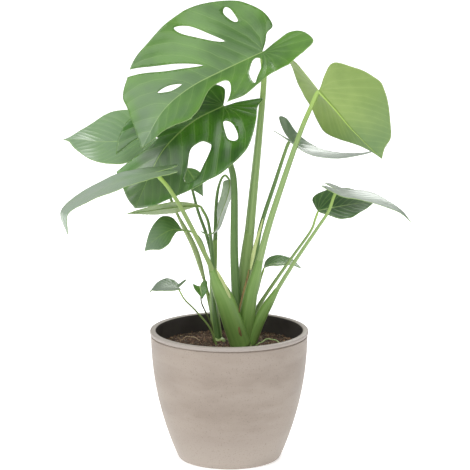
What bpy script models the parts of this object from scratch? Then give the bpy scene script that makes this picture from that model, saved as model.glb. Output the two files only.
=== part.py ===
"""Potted monstera: a ceramic pot, soil, two crowns, leaf stalks and leaf blades.

Metres, +Z up. The origin is the centre of the pot's flat base, and +Y points to the back.
"""

import math

import bmesh
import bpy
import numpy as np
from mathutils.geometry import delaunay_2d_cdt

MM = 0.001  # every size below is in millimetres
GAP = 0.3  # clearance between pieces that touch

# Pot
POT_HEIGHT = 157.0
RIM_RADIUS = 95.0
BASE_RADIUS = 61.0
WALL = 7.0
FLOOR = 8.0
BELLY_POWER = 2.1  # how fast the wall turns upright above the base
BASE_ROUND = 4.0
LIP_HEIGHT = 5.0
LIP_PROUD = 1.0
LIP_ROUND = 2.0
POT_STEPS = 48

# Soil
SOIL_DEPTH = 21.0  # from the rim down to the soil
SOIL_EDGE_ROUND = 3.0
SIDE_GAP = 0.4  # level clearance to the sloping wall

# Plant
PLANT_SCALE = 1.0  # spread and height of the whole plant
BLADE_THICKNESS = 1.0
BLADE_GRID = 12.0  # distance between the points that bend a blade
EDGE_STEPS = 2  # edge points between two points of an outline
STALK_THICKNESS = 1.0  # factor on every stalk's radius
STALK_SIDES = 8
CROWN_SIDES = 10
STALK_STEP = 20.0  # distance between the rings of a free stalk
CROWN_STEP = 14.0  # and of the part that a crown holds
BURIED = 4.0  # how far a held stalk starts below the soil before it is cut level
KNEE = 9.0  # length over which a stalk narrows to its blade
KNEE_SHARE = 0.55
BELLY = 0.35  # share of the rib where a blade is widest

# Half outlines of a plain blade: (share along the rib, share of the half width).
CORDATE = [(-0.05, 0.07), (-0.12, 0.2), (-0.17, 0.38), (-0.16, 0.6), (-0.08, 0.81), (0.06, 0.95),
           (0.22, 1.0), (0.4, 0.94), (0.58, 0.77), (0.74, 0.53), (0.87, 0.28), (0.95, 0.1)]
OVATE = [(0.02, 0.1), (0.06, 0.3), (0.13, 0.6), (0.24, 0.86), (0.38, 1.0), (0.54, 0.95),
         (0.7, 0.75), (0.84, 0.45), (0.94, 0.17)]
FULL = [(0.01, 0.3), (0.04, 0.65), (0.1, 0.88), (0.24, 1.0), (0.4, 1.0), (0.56, 0.92),
        (0.72, 0.72), (0.86, 0.42), (0.95, 0.16)]

# Each blade is set out in millimetres above the soil: the points of its rib from the stalk to the
# tip, and its half widths to the left and right at the base, the belly and the tip, seen from above
# with the tip ahead. Its edges and its holes are shares of the rib and of the half width.
BLADES = {
    "top_leaf": dict(
        rib=[(39, 12, 353), (-8, -12, 334), (-46, -28, 316), (-77, -45, 291), (-101, -60, 250)],
        left=[(34, -50, -10), (30, -62, -16), (15, -34, -11)],
        left_lobe=(30, -8, 27),
        left_edge=[(-0.12, 0.03), (-0.21, 0.08), (-0.25, 0.34), (-0.22, 0.78), (-0.12, 0.88),
                   (0.05, 0.84), (0.18, 0.9), (0.32, 0.98), (0.45, 1.06), (0.64, 1.06), (0.77, 0.64)],
        right=[(3, 40, 50), (-36, 46, 68), (-42, 24, 36)],
        right_edge=[(-0.02, 0.2), (-0.03, 0.4), (-0.07, 0.5), (-0.02, 0.78), (0.08, 1.08),
                    (0.15, 1.16), (0.3, 1.06), (0.42, 1.01), (0.58, 0.98), (0.7, 1.0), (0.78, 0.94),
                    (0.86, 0.86), (0.89, 0.64), (0.94, 0.34)],
        holes=[
            ("right", [(0.17, 1.04), (0.15, 1.0), (0.13, 0.8), (0.15, 0.78), (0.18, 0.92)]),
            ("right", [(0.44, 0.88), (0.35, 0.8), (0.27, 0.6), (0.21, 0.44), (0.28, 0.5),
                       (0.4, 0.72)]),
            ("right", [(0.8, 1.12), (0.65, 0.7), (0.5, 0.4), (0.38, 0.2), (0.49, 0.3), (0.62, 0.52),
                       (0.81, 1.04)]),
            ("right", [(0.7, 0.3), (0.63, 0.25), (0.55, 0.12), (0.63, 0.15)]),
            ("left", [(0.06, 0.1), (0.06, 0.28), (0.17, 0.68), (0.22, 0.84), (0.19, 0.48),
                      (0.11, 0.16)]),
            ("left", [(0.66, 1.1), (0.57, 0.72), (0.45, 0.36), (0.36, 0.25), (0.31, 0.34),
                      (0.34, 0.62), (0.41, 0.94), (0.48, 1.24), (0.58, 1.5)]),
        ]),
    "lower_split_leaf": dict(
        rib=[(-7, 4, 290), (-42, -8, 274), (-72, -18, 248), (-89, -28, 222), (-110, -42, 176)],
        left=[(45, -28, -8), (47, -34, -49), (21, -16, -28)],
        left_edge=[(-0.03, 0.03), (-0.11, 0.1), (-0.22, 0.3), (-0.12, 0.5), (0.04, 0.98),
                   (0.14, 1.16), (0.21, 1.12), (0.29, 1.0), (0.42, 0.92), (0.58, 0.88),
                   (0.81, 0.62), (0.92, 0.32)],
        right=[(-36, 20, 33), (-66, 18, 9), (-40, 10, 8)],
        right_edge=[(-0.07, 0.22), (-0.11, 0.42), (-0.07, 0.64), (0.04, 0.8), (0.14, 0.92),
                    (0.23, 0.98), (0.36, 0.96), (0.61, 0.88), (0.72, 0.86), (0.81, 0.72),
                    (0.93, 0.38)],
        holes=[
            ("left", [(0.12, 0.38), (0.1, 0.5), (0.13, 0.74), (0.16, 0.86), (0.18, 0.78),
                      (0.18, 0.64)]),
            ("left", [(0.3, 0.34), (0.27, 0.46), (0.28, 0.54), (0.38, 0.64), (0.48, 0.76),
                      (0.55, 0.76), (0.56, 0.66), (0.49, 0.52), (0.39, 0.32)]),
            ("right", [(0.72, 1.02), (0.59, 0.76), (0.48, 0.58), (0.44, 0.38), (0.45, 0.26),
                       (0.52, 0.28), (0.63, 0.48), (0.81, 0.94)]),
        ]),
    "left_rear_leaf": dict(
        rib=[(-93, 50, 246), (-120, 46, 242), (-155, 42, 241), (-178, 36, 245), (-198, 28, 246)],
        left=[(1, -40, -13), (-3, -44, -19), (-3, -24, -13)],
        left_edge=[(-0.07, 0.2), (-0.13, 0.6), (-0.06, 0.92), (0.13, 1.12), (0.31, 1.1), (0.53, 1.0),
                   (0.7, 0.92), (0.84, 0.56), (0.93, 0.12)],
        right=[(4, 40, 23), (-6, 40, 28), (-11, 20, 6)],
        right_edge=[(-0.09, 0.15), (-0.11, 0.56), (0.01, 0.95), (0.15, 1.08), (0.31, 1.08),
                    (0.53, 0.98), (0.75, 0.68)]),
    "left_front_leaf": dict(
        rib=[(-85, -78, 225), (-125, -86, 216), (-162, -94, 201), (-189, -100, 183),
             (-185, -102, 157)],
        left=[(4, -45, 2), (4, -50, 1), (15, -27, 3)],
        right=[(3, 45, 0), (-2, 50, 2), (-17, 27, -2)]),
    "narrow_left_leaf": dict(
        rib=[(-34, 22, 167), (-59, 18, 167), (-88, 12, 164), (-122, 6, 160)],
        left=[(0, -24, 9), (1, -28, 11), (1, -16, 8)],
        right=[(0, 24, -9), (-1, 28, -13), (-1, 16, -9)],
        left_edge=OVATE,
        right_edge=OVATE),
    "small_left_leaf": dict(
        rib=[(-55, 0, 142), (-70, -8, 143), (-88, -16, 133), (-100, -22, 121)],
        left=[(3, -20, -8), (4, -24, -14), (3, -14, -9)],
        left_edge=[(0.03, 0.08), (0.15, 0.18), (0.26, 0.46), (0.41, 0.8), (0.66, 0.8)],
        right=[(-3, 20, 11), (-8, 24, 12), (-8, 14, 8)],
        right_edge=[(0.04, 0.16), (0.1, 0.62), (0.19, 0.98), (0.46, 1.02), (0.72, 0.74)]),
    "folded_leaf": dict(
        rib=[(0, 34, 197), (0, 27, 187), (-4, 21, 173), (-11, 17, 155), (-16, 14, 140),
             (-25, 11, 134), (-34, 8, 139)],
        left=[(-10, 1, 2), (-7, 18, 2), (4, 16, -2)],
        left_edge=FULL,
        right=[(6, 5, 0), (6, 20, 0), (8, 14, -4)],
        right_edge=FULL),
    "right_upper_leaf": dict(
        rib=[(104, -34, 314), (123, -42, 294), (140, -50, 274), (158, -56, 256), (177, -60, 238)],
        left=[(-11, 30, -9), (-9, 36, -20), (-6, 16, -11)],
        left_lobe=(-30, 6, 38),
        left_edge=[(-0.19, 0.05), (-0.37, 0.14), (-0.45, 0.48), (-0.28, 0.86), (-0.05, 1.24),
                   (0.12, 1.32), (0.24, 1.4), (0.48, 1.2), (0.71, 0.68)],
        right=[(13, -20, 28), (40, -30, 35), (27, -16, 26)],
        right_edge=[(-0.01, 0.22), (-0.03, 0.58), (-0.03, 1.1), (0.04, 1.42), (0.15, 1.42),
                    (0.28, 1.22), (0.5, 1.1), (0.72, 0.92), (0.88, 0.66), (0.93, 0.3)]),
    "right_middle_leaf": dict(
        rib=[(72, 20, 247), (93, 14, 235), (125, 8, 229), (160, 2, 234), (188, -2, 244)],
        left=[(-7, 14, 24), (6, 36, 2), (2, 20, -1)],
        left_edge=[(-0.05, 0.3), (-0.06, 0.9), (0.03, 1.08), (0.11, 0.8), (0.22, 0.74),
                   (0.42, 0.7), (0.66, 0.6), (0.85, 0.3)],
        right=[(-3, -22, 3), (-3, -27, 2), (-2, -15, 1)]),
    "right_front_leaf": dict(
        rib=[(127, -12, 193), (145, -16, 186), (178, -22, 179), (201, -26, 170), (214, -28, 157)],
        left=[(5, 26, -1), (7, 32, 3), (5, 18, 0)],
        right=[(-5, -26, 1), (-5, -32, 4), (-3, -18, 0)]),
    "right_rear_leaf": dict(
        rib=[(106, 26, 160), (126, 22, 165), (150, 18, 170), (173, 14, 173)],
        left=[(-2, 22, 15), (3, 24, 19), (5, 14, 10)],
        left_edge=[(-0.04, 0.34), (-0.07, 0.76), (-0.01, 1.0), (0.14, 1.08), (0.37, 0.98),
                   (0.62, 0.9), (0.84, 0.5)],
        right=[(4, -20, -6), (4, -22, -9), (2, -12, -5)],
        right_edge=[(0.04, 0.28), (0.14, 0.6), (0.29, 1.0), (0.44, 1.16), (0.62, 1.2),
                    (0.83, 0.8)]),
    "small_right_leaf": dict(
        rib=[(42, 50, 86), (52, 48, 90), (64, 46, 91), (76, 44, 91), (87, 42, 86)],
        left=[(0, 16, 6), (1, 18, 7), (3, 12, 5)],
        right=[(0, -14, 2), (0, -16, 1), (0, -10, 1)],
        left_edge=FULL,
        right_edge=FULL),
    "young_left_leaf": dict(
        rib=[(-60, -30, 78), (-70, -32, 79), (-82, -34, 79), (-91, -36, 77), (-94, -37, 73)],
        left=[(0, -13, 0), (0, -16, -1), (0, -10, -1)],
        left_edge=[(-0.06, 0.2), (-0.08, 0.5), (0.02, 0.85), (0.15, 1.0), (0.35, 1.05),
                   (0.58, 0.95), (0.72, 0.75), (0.81, 0.45), (0.87, 0.14), (0.94, 0.08)],
        right=[(0, 15, 6), (0, 20, 6), (0, 13, 4)],
        right_lobe=(9, 2, 7),
        right_edge=[(-0.12, 0.06), (-0.28, 0.16), (-0.31, 0.34), (-0.19, 0.44), (-0.03, 0.5),
                    (0.06, 0.76), (0.15, 0.95), (0.35, 1.05), (0.58, 1.0), (0.72, 0.82),
                    (0.81, 0.5), (0.87, 0.14), (0.94, 0.08)]),
    "bud_leaf": dict(
        rib=[(-35, -16, 77), (-34, -18, 72), (-33, -20, 67), (-32, -20, 62)],
        left=[(8, 1, 1), (9, -1, 0), (5, 0, 0)],
        left_lobe=(3, 0, 8),
        left_edge=[(-0.26, 0.04), (-0.48, 0.3), (-0.42, 0.7), (-0.16, 1.0), (0.15, 1.0),
                   (0.45, 0.8), (0.72, 0.5), (0.9, 0.2)],
        right=[(-8, -1, 2), (-9, -4, 3), (-5, -2, 1)],
        right_lobe=(-3, 0, 7),
        right_edge=[(-0.02, 0.3), (-0.1, 0.7), (-0.06, 1.0), (0.2, 0.92), (0.55, 0.6),
                    (0.85, 0.24)]),
    "hidden_rear_leaf": dict(
        rib=[(-52, 52, 208), (-45, 48, 199), (-38, 43, 187), (-31, 38, 175)],
        left=[(8, 4, 5), (9, 4, 5), (5, 2, 3)],
        left_edge=OVATE,
        right=[(-8, -3, -5), (-9, -4, -6), (-5, -2, -3)],
        right_edge=OVATE),
}

# Each stalk runs from its foot on the soil to its blade, through these points. The crown holds it
# up to the height "held"; its radii are at the foot, where it leaves the crown, and at the blade.
STALKS = {
    "top_leaf": dict(
        path=[(13, 12, 0), (15, 20, 35), (21, 27, 100), (28, 28, 176), (35, 26, 250), (41, 20, 322)],
        held=62, radii=(7.5, 7.0, 3.2)),
    "lower_split_leaf": dict(
        path=[(12, 9, 0), (9, 9, 45), (6, 14, 110), (6, 19, 187), (2, 21, 216), (-6, 20, 236),
              (-12, 17, 255), (-12, 12, 271)],
        held=62, radii=(7.0, 5.4, 3.0)),
    "left_front_leaf": dict(
        path=[(15, 1, 0), (5, -5, 28), (-5, -13, 59), (-16, -23, 86), (-25, -31, 112),
              (-53, -54, 174), (-69, -68, 204), (-80, -75, 219)],
        held=92, radii=(8.5, 3.0, 2.3), belly=10.4),
    "right_upper_leaf": dict(
        path=[(19, 9, 0), (21, 4, 31), (25, 0, 63), (32, -4, 90), (44, -9, 140), (60, -14, 193),
              (83, -23, 263), (97, -29, 298)],
        held=94, radii=(7.0, 4.7, 2.6), belly=7.8),
    "right_middle_leaf": dict(
        path=[(20, 10, 0), (26, 10, 50), (31, 17, 100), (38, 26, 142), (55, 28, 196), (67, 25, 234)],
        held=94, radii=(5.0, 3.2, 2.1)),
    "right_front_leaf": dict(
        path=[(23, 8, 0), (37, 5, 33), (51, 1, 59), (76, -4, 102), (103, -8, 144), (117, -10, 166),
              (123, -11, 183)],
        held=60, radii=(6.0, 3.0, 1.8)),
    "right_rear_leaf": dict(
        path=[(21, 13, 0), (32, 20, 36), (44, 24, 58), (73, 27, 100), (97, 29, 134), (103, 28, 150)],
        held=56, radii=(5.0, 2.4, 1.5)),
    "small_right_leaf": dict(
        path=[(20, 14, 0), (26, 29, 34), (34, 44, 58), (38, 51, 72)],
        held=46, radii=(4.0, 1.8, 1.3)),
    "left_rear_leaf": dict(
        path=[(-14, 25, 0), (-22, 40, 36), (-32, 52, 76), (-43, 54, 111), (-64, 57, 153),
              (-82, 56, 200), (-92, 53, 234)],
        held=72, radii=(3.4, 1.8, 1.8)),
    "narrow_left_leaf": dict(
        path=[(-13, 23, 0), (-17, 28, 30), (-20, 32, 70), (-21, 34, 110), (-25, 32, 145)],
        held=72, radii=(4.0, 2.4, 1.8)),
    "small_left_leaf": dict(
        path=[(-12, 21, 0), (-17, 23, 40), (-21, 18, 72), (-26, 11, 104), (-34, 8, 129),
              (-45, 5, 139)],
        held=72, radii=(3.4, 1.4, 1.1)),
    "folded_leaf": dict(
        path=[(-13, 26, 0), (-18, 37, 38), (-19, 43, 80), (-17, 44, 118), (-16, 46, 158),
              (-14, 46, 180), (-10, 44, 195), (-5, 40, 201)],
        held=72, radii=(5.0, 3.5, 1.3)),
    "hidden_rear_leaf": dict(
        path=[(-15, 27, 0), (-18, 45, 45), (-20, 55, 90), (-27, 60, 122), (-38, 60, 154),
              (-46, 58, 186)],
        held=72, radii=(5.0, 2.6, 1.5)),
    "young_left_leaf": dict(
        path=[(-14, 2, 0), (-23, -4, 23), (-39, -14, 46), (-52, -24, 62), (-57, -28, 71)],
        radii=(1.4, 1.3, 0.9)),
    "bud_leaf": dict(
        path=[(-18, 6, 0), (-21, 1, 25), (-28, -6, 43), (-33, -10, 56), (-34, -11, 68)],
        radii=(1.2, 1.1, 0.8)),
}
MAIN_CROWN = ("left_front_leaf", "right_upper_leaf", "lower_split_leaf", "top_leaf",
              "right_middle_leaf", "right_front_leaf", "right_rear_leaf", "small_right_leaf")
SIDE_CROWN = ("folded_leaf", "left_rear_leaf", "small_left_leaf", "narrow_left_leaf",
              "hidden_rear_leaf")
ROOT_LOOP = [(38, -6), (45, 4), (52, 9), (60, 6), (66, -2)]  # a root that lies on the soil
ROOT_RADIUS = 1.2
FIBRE = [(-52, 14), (-44, 20), (-36, 18)]
FIBRE_RADIUS = 0.6
DRIED_SHEATH = [(15, 8, 30), (13, 5, 52), (19, 7, 72), (25, 11, 90)]
DRIED_RADIUS = 1.3

# Shape of the rounds and of the meshes
ROUND_SHARE = 0.3  # how far a rounded corner's middle point lies from the corner, in radii
BASE_RISE = 0.25  # height of the base round's middle point, in radii
ROW_SHARE = 0.87  # distance between rows of points on a blade, in grid steps
RIB_CLEAR = 0.55  # grid steps that points keep off the rib, and off an edge
EDGE_CLEAR = 0.5
RIB_PIECES = 7  # fewest grid steps along a rib
LEAST_WIDTH = 0.02  # share of the half width that an edge keeps off the rib
STRAND_TAPER = 0.5  # radius at the ends of a root or fibre, as a share
FIRST_SIDE = (0.31, 0.95, 0.05)  # a direction that no tube starts along
SHARP_ANGLE = math.radians(50)
WELD = 0.01


def smooth(points, per_span=6, closed=False):
    """A Catmull-Rom curve through the points."""
    points = np.asarray(points, float)
    if closed:
        padded = np.vstack([points[-1:], points, points[:2]])
    else:
        padded = np.vstack([2 * points[0] - points[1], points, 2 * points[-1] - points[-2]])
    curve = []
    for a, b, c, d in zip(padded, padded[1:], padded[2:], padded[3:]):
        for t in np.arange(per_span) / per_span:
            curve.append(0.5 * (2 * b + (c - a) * t + (2 * a - 5 * b + 4 * c - d) * t * t
                                + (3 * b - a - 3 * c + d) * t ** 3))
    if not closed:
        curve.append(points[-1])
    return np.array(curve)


def lengths_along(curve):
    return np.concatenate([[0.0], np.cumsum(np.linalg.norm(np.diff(curve, axis=0), axis=1))])


def unit(vectors):
    return vectors / np.linalg.norm(vectors, axis=-1, keepdims=True)


def ease(share):
    share = np.clip(share, 0.0, 1.0)
    return share * share * (3 - 2 * share)


def soil_top():
    return POT_HEIGHT - SOIL_DEPTH


def plant_points(points):
    """Points of the plant, given above the soil, in the pot's frame."""
    return np.asarray(points, float) * PLANT_SCALE + [0.0, 0.0, soil_top()]


def material(name, colour, roughness, metallic=0.0):
    made = bpy.data.materials.new(name)
    made.use_nodes = True
    shader = made.node_tree.nodes["Principled BSDF"]
    shader.inputs["Base Color"].default_value = (*colour, 1.0)
    shader.inputs["Roughness"].default_value = roughness
    shader.inputs["Metallic"].default_value = metallic
    return made


def add_object(name, points, faces, finish, turn_out=True):
    """A mesh object from points in millimetres, with its faces turned outwards if asked."""
    mesh = bpy.data.meshes.new(name)
    mesh.from_pydata([tuple(p) for p in np.asarray(points) * MM], [], [tuple(f) for f in faces])
    if turn_out:
        work = bmesh.new()
        work.from_mesh(mesh)
        bmesh.ops.recalc_face_normals(work, faces=work.faces)
        work.to_mesh(mesh)
        work.free()
    mesh.materials.append(finish)
    mesh.shade_smooth()
    mesh.set_sharp_from_angle(angle=SHARP_ANGLE)
    made = bpy.data.objects.new(name, mesh)
    bpy.context.scene.collection.objects.link(made)
    return made


def turned(name, profile, finish):
    """A solid of revolution about Z from (radius, height) points; the ends lie on the axis."""
    work = bmesh.new()
    chain = [work.verts.new((radius * MM, 0.0, height * MM)) for radius, height in profile]
    edges = [work.edges.new(pair) for pair in zip(chain, chain[1:])]
    bmesh.ops.spin(work, geom=chain + edges, axis=(0, 0, 1), cent=(0, 0, 0), steps=POT_STEPS,
                   angle=2 * math.pi, use_merge=True)
    bmesh.ops.remove_doubles(work, verts=work.verts, dist=WELD * MM)
    points = [np.array(v.co) / MM for v in work.verts]
    faces = [[v.index for v in face.verts] for face in work.faces]
    work.free()
    return add_object(name, points, faces, finish)


def wall_radius(height):
    rise = 1 - (1 - height / POT_HEIGHT) ** BELLY_POWER
    return BASE_RADIUS + (RIM_RADIUS - LIP_PROUD - BASE_RADIUS) * rise


def inner_radius(height):
    return wall_radius(height) - WALL + LIP_PROUD


def inner_wall():
    """The pot's inner wall from the lip down to the floor, as (radius, height) points."""
    heights = np.linspace(POT_HEIGHT - LIP_HEIGHT, FLOOR + BASE_ROUND, 6)
    return [(inner_radius(z), z) for z in heights]


def make_pot():
    lip_foot = POT_HEIGHT - LIP_HEIGHT
    outside = [(wall_radius(z), z) for z in np.linspace(BASE_ROUND, lip_foot, 9)]
    inner_rim = inner_radius(POT_HEIGHT)
    half_round = LIP_ROUND * ROUND_SHARE
    profile = [
        (0.0, 0.0),
        (BASE_RADIUS - BASE_ROUND, 0.0),
        (BASE_RADIUS - half_round, BASE_ROUND * BASE_RISE),
        *outside,
        (RIM_RADIUS, lip_foot + LIP_PROUD),
        (RIM_RADIUS, POT_HEIGHT - LIP_ROUND),
        (RIM_RADIUS - half_round, POT_HEIGHT - half_round),
        (RIM_RADIUS - LIP_ROUND, POT_HEIGHT),
        (inner_rim + LIP_ROUND, POT_HEIGHT),
        (inner_rim + half_round, POT_HEIGHT - half_round),
        (inner_rim, POT_HEIGHT - LIP_ROUND),
        *inner_wall(),
        (inner_radius(FLOOR) - BASE_ROUND, FLOOR),
        (0.0, FLOOR),
    ]
    turned("pot", profile, material("pot_glaze", (0.42, 0.36, 0.31), 0.55))


def make_soil():
    bed = FLOOR + GAP
    wall = inner_wall()[::-1]
    radii = [radius for radius, _ in wall]
    heights = [height for _, height in wall]
    shoulder = soil_top() - SOIL_EDGE_ROUND
    side_heights = [bed + BASE_ROUND, *[z for z in heights[1:] if z < shoulder - 1], shoulder]
    side = [(float(np.interp(z, heights, radii)) - SIDE_GAP, z) for z in side_heights]
    profile = [
        (0.0, bed),
        (inner_radius(FLOOR) - BASE_ROUND - SIDE_GAP, bed),
        *side,
        (side[-1][0] - SOIL_EDGE_ROUND, soil_top()),
        (0.0, soil_top()),
    ]
    turned("soil", profile, material("potting_soil", (0.03, 0.02, 0.015), 0.95))


def tube(centres, radii, sides, along=None):
    """Points and faces of a closed tube, its rings square to the path."""
    centres = np.asarray(centres, float)
    if along is None:
        along = unit(np.gradient(centres, axis=0))
    across = unit(np.cross(along[0], FIRST_SIDE))
    turns = np.linspace(0, 2 * math.pi, sides, endpoint=False)
    points = []
    for centre, direction, radius in zip(centres, along, radii):
        across = unit(across - direction * np.dot(across, direction))
        upward = np.cross(direction, across)
        for turn in turns:
            points.append(centre + radius * (across * math.cos(turn) + upward * math.sin(turn)))
    faces = [list(range(sides)), list(range(len(points) - sides, len(points)))]
    for ring in range(len(centres) - 1):
        for side in range(sides):
            a = ring * sides + side
            b = ring * sides + (side + 1) % sides
            faces.append([a, b, b + sides, a + sides])
    return points, faces


def edge_of(blade, side):
    shares = smooth([(0.0, 0.0), *blade.get(side + "_edge", CORDATE), (1.0, 0.0)], EDGE_STEPS)
    shares[1:-1, 1] = np.maximum(shares[1:-1, 1], LEAST_WIDTH)
    return shares


def rib_frame(blade):
    rib = smooth(plant_points(blade["rib"]), 12)
    return rib, lengths_along(rib)


def blade_surface(blade, side, shares):
    """Where the (along, across) shares of one half of a blade lie."""
    shares = np.asarray(shares, float)
    rib, lengths = rib_frame(blade)
    along = np.clip(shares[:, 0], 0, 1) * lengths[-1]
    spine = np.stack([np.interp(along, lengths, rib[:, k]) for k in range(3)], axis=-1)
    lobe = np.asarray(blade.get(side + "_lobe", rib[0] - rib[1]), float)
    behind = np.maximum(-shares[:, :1], 0) * lengths[-1] * unit(lobe)
    base, belly, tip = np.asarray(blade[side], float) * PLANT_SCALE
    to_belly = ease(shares[:, :1] / BELLY)
    to_tip = ease((shares[:, :1] - BELLY) / (1 - BELLY))
    width = base + (belly - base) * to_belly + (tip - belly) * to_tip
    return spine + behind + shares[:, 1:2] * width


def flat_size(blade):
    """Length of the rib and half widths, to lay a blade out flat."""
    length = rib_frame(blade)[1][-1]
    return length, {side: np.linalg.norm(blade[side][1]) * PLANT_SCALE for side in ("left", "right")}


def flat_outline(blade, side, shares):
    length, widths = flat_size(blade)
    sign = 1 if side == "left" else -1
    return np.stack([shares[:, 0] * length, sign * shares[:, 1] * widths[side]], axis=-1)


def inside(points, loop):
    """Which points lie inside a closed loop."""
    x, y = points[:, 0], points[:, 1]
    found = np.zeros(len(points), bool)
    for (x1, y1), (x2, y2) in zip(loop, np.roll(loop, -1, axis=0)):
        if y1 != y2:
            crosses = ((y1 > y) != (y2 > y)) & (x < (x2 - x1) * (y - y1) / (y2 - y1) + x1)
            found ^= crosses
    return found


def loop_distance(points, loop):
    starts, ends = loop, np.roll(loop, -1, axis=0)
    span = ends - starts
    share = ((points[:, None] - starts) * span).sum(-1) / np.maximum((span ** 2).sum(-1), 1e-9)
    nearest = starts + np.clip(share, 0, 1)[..., None] * span
    return np.linalg.norm(points[:, None] - nearest, axis=-1).min(axis=1)


def blade_layout(blade, grid):
    """Flat triangles of a blade, cut to its outline and holes, with the rib as an edge."""
    left = flat_outline(blade, "left", edge_of(blade, "left"))
    right = flat_outline(blade, "right", edge_of(blade, "right"))
    outline = np.vstack([left, right[-2:0:-1]])
    holes = [flat_outline(blade, side, smooth(loop, EDGE_STEPS, closed=True))
             for side, loop in blade.get("holes", [])]
    length = left[-1, 0]
    rib = np.array([(x, 0.0) for x in np.arange(grid, length - grid / 2, grid)])
    low, high = outline.min(axis=0), outline.max(axis=0)
    rows = np.arange(low[1], high[1], grid * ROW_SHARE)
    inner = np.array([(x + grid / 2 * (k % 2), y) for k, y in enumerate(rows)
                      for x in np.arange(low[0], high[0], grid)])
    inner = inner[inside(inner, outline) & (np.abs(inner[:, 1]) > grid * RIB_CLEAR)]
    for loop in [outline, *holes]:
        inner = inner[loop_distance(inner, loop) > grid * EDGE_CLEAR]
    for hole in holes:
        inner = inner[~inside(inner, hole)]
    loops = [outline, *holes]
    points = np.vstack([*loops, rib, inner])
    edges = []
    start = 0
    for loop in loops:
        edges += [(start + k, start + (k + 1) % len(loop)) for k in range(len(loop))]
        start += len(loop)
    chain = [0, *range(start, start + len(rib)), len(left) - 1]
    edges += list(zip(chain, chain[1:]))
    found = delaunay_2d_cdt([tuple(p) for p in points], edges, [], 0, 1e-4)
    flat = np.array([tuple(p) for p in found[0]])
    faces = np.array([face for face in found[2] if len(face) == 3])
    middles = flat[faces].mean(axis=1)
    keep = inside(middles, outline)
    for hole in holes:
        keep &= ~inside(middles, hole)
    return flat, faces[keep]


def bent(blade, flat):
    """The flat points of a blade, bent to where they grow."""
    length, widths = flat_size(blade)
    placed = np.zeros((len(flat), 3))
    for side, sign in (("left", 1), ("right", -1)):
        shares = np.stack([flat[:, 0] / length, sign * flat[:, 1] / widths[side]], axis=-1)
        mine = sign * flat[:, 1] >= 0 if side == "left" else flat[:, 1] < 0
        placed[mine] = blade_surface(blade, side, shares)[mine]
    return placed


def thickened(points, faces, thickness):
    """A closed solid that follows a sheet of triangles."""
    corners = points[faces]
    face_normals = np.cross(corners[:, 1] - corners[:, 0], corners[:, 2] - corners[:, 0])
    normals = np.zeros_like(points)
    for corner in range(3):
        np.add.at(normals, faces[:, corner], face_normals)
    used = np.unique(faces)
    number = -np.ones(len(points), int)
    number[used] = np.arange(len(used))
    sheet = points[used]
    lift = unit(normals[used]) * thickness / 2
    count = len(used)
    top = number[faces]
    edges = {}
    for a, b, c in top:
        for pair in ((a, b), (b, c), (c, a)):
            edges[pair] = True
    rim = [pair for pair in edges if pair[::-1] not in edges]
    solid = [list(face) for face in top] + [[f + count for f in face[::-1]] for face in top]
    solid += [[b, a, a + count, b + count] for a, b in rim]
    return np.vstack([sheet + lift, sheet - lift]), solid


def make_blade(name, finish):
    blade = BLADES[name]
    flat, faces = blade_layout(blade, min(BLADE_GRID, flat_size(blade)[0] / RIB_PIECES))
    points, solid = thickened(bent(blade, flat), faces, BLADE_THICKNESS)
    add_object(name, points, solid, finish, turn_out=False)


def blade_seat(name, came_from):
    """The end of a stalk, its narrowed cap a gap away from the blade."""
    blade = BLADES[name]
    rib = plant_points(blade["rib"])
    left, right = (np.asarray(blade[side][0], float) for side in ("left", "right"))
    normal = unit(np.cross(rib[1] - rib[0], unit(left) - unit(right)))
    if np.dot(rib[0] - came_from, normal) > 0:
        normal = -normal
    cap = STALKS[name]["radii"][2] * STALK_THICKNESS * KNEE_SHARE
    slope = np.dot(unit(rib[0] - came_from), normal)
    return rib[0] + normal * (BLADE_THICKNESS / 2 + GAP + cap * math.sqrt(max(0.0, 1 - slope ** 2)))


def stalk_line(name):
    """Points about 2 mm apart from a stalk's foot to its blade, and the lengths along them."""
    path = plant_points(STALKS[name]["path"])
    path = np.vstack([path, blade_seat(name, path[-1])])
    dense = smooth(path, 24)
    return dense, lengths_along(dense)


def stations(start, end, spacing):
    return np.linspace(start, end, max(3, int(round((end - start) / spacing)) + 1))


def at_lengths(curve, lengths, wanted):
    """Points of a curve, and its directions, at the wanted lengths."""
    slopes = unit(np.gradient(curve, axis=0))
    places, directions = (np.stack([np.interp(wanted, lengths, values[:, k]) for k in range(3)],
                                   axis=-1) for values in (curve, slopes))
    return places, unit(directions)


def held_length(name):
    """Length along a stalk at which it leaves its crown, or its own foot."""
    dense, lengths = stalk_line(name)
    height = soil_top() + STALKS[name].get("held", 0) * PLANT_SCALE
    return float(np.interp(height, dense[:, 2], lengths)) if "held" in STALKS[name] else 0.0


def make_stalk(name, finish):
    """The free part of a stalk, from its crown, or from the soil, to its blade."""
    dense, lengths = stalk_line(name)
    start = held_length(name) + GAP
    neck, top = (radius * STALK_THICKNESS for radius in STALKS[name]["radii"][1:])
    knee = stations(lengths[-1] - KNEE, lengths[-1], KNEE / 2)
    wanted = np.concatenate([stations(start, knee[0], STALK_STEP * PLANT_SCALE), knee[1:]])
    centres, along = at_lengths(dense, lengths, wanted)
    share = (wanted - start) / (lengths[-1] - start)
    left = np.clip((lengths[-1] - wanted) / KNEE, 0, 1)
    radii = (neck + (top - neck) * share) * (KNEE_SHARE + (1 - KNEE_SHARE) * np.sqrt(left))
    if "held" not in STALKS[name]:
        reach_down = radii[0] * math.sqrt(1 - along[0, 2] ** 2)
        centres[0, 2] = soil_top() + GAP + reach_down
    add_object(name + "_stalk", *tube(centres, radii, STALK_SIDES, along), finish)


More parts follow.
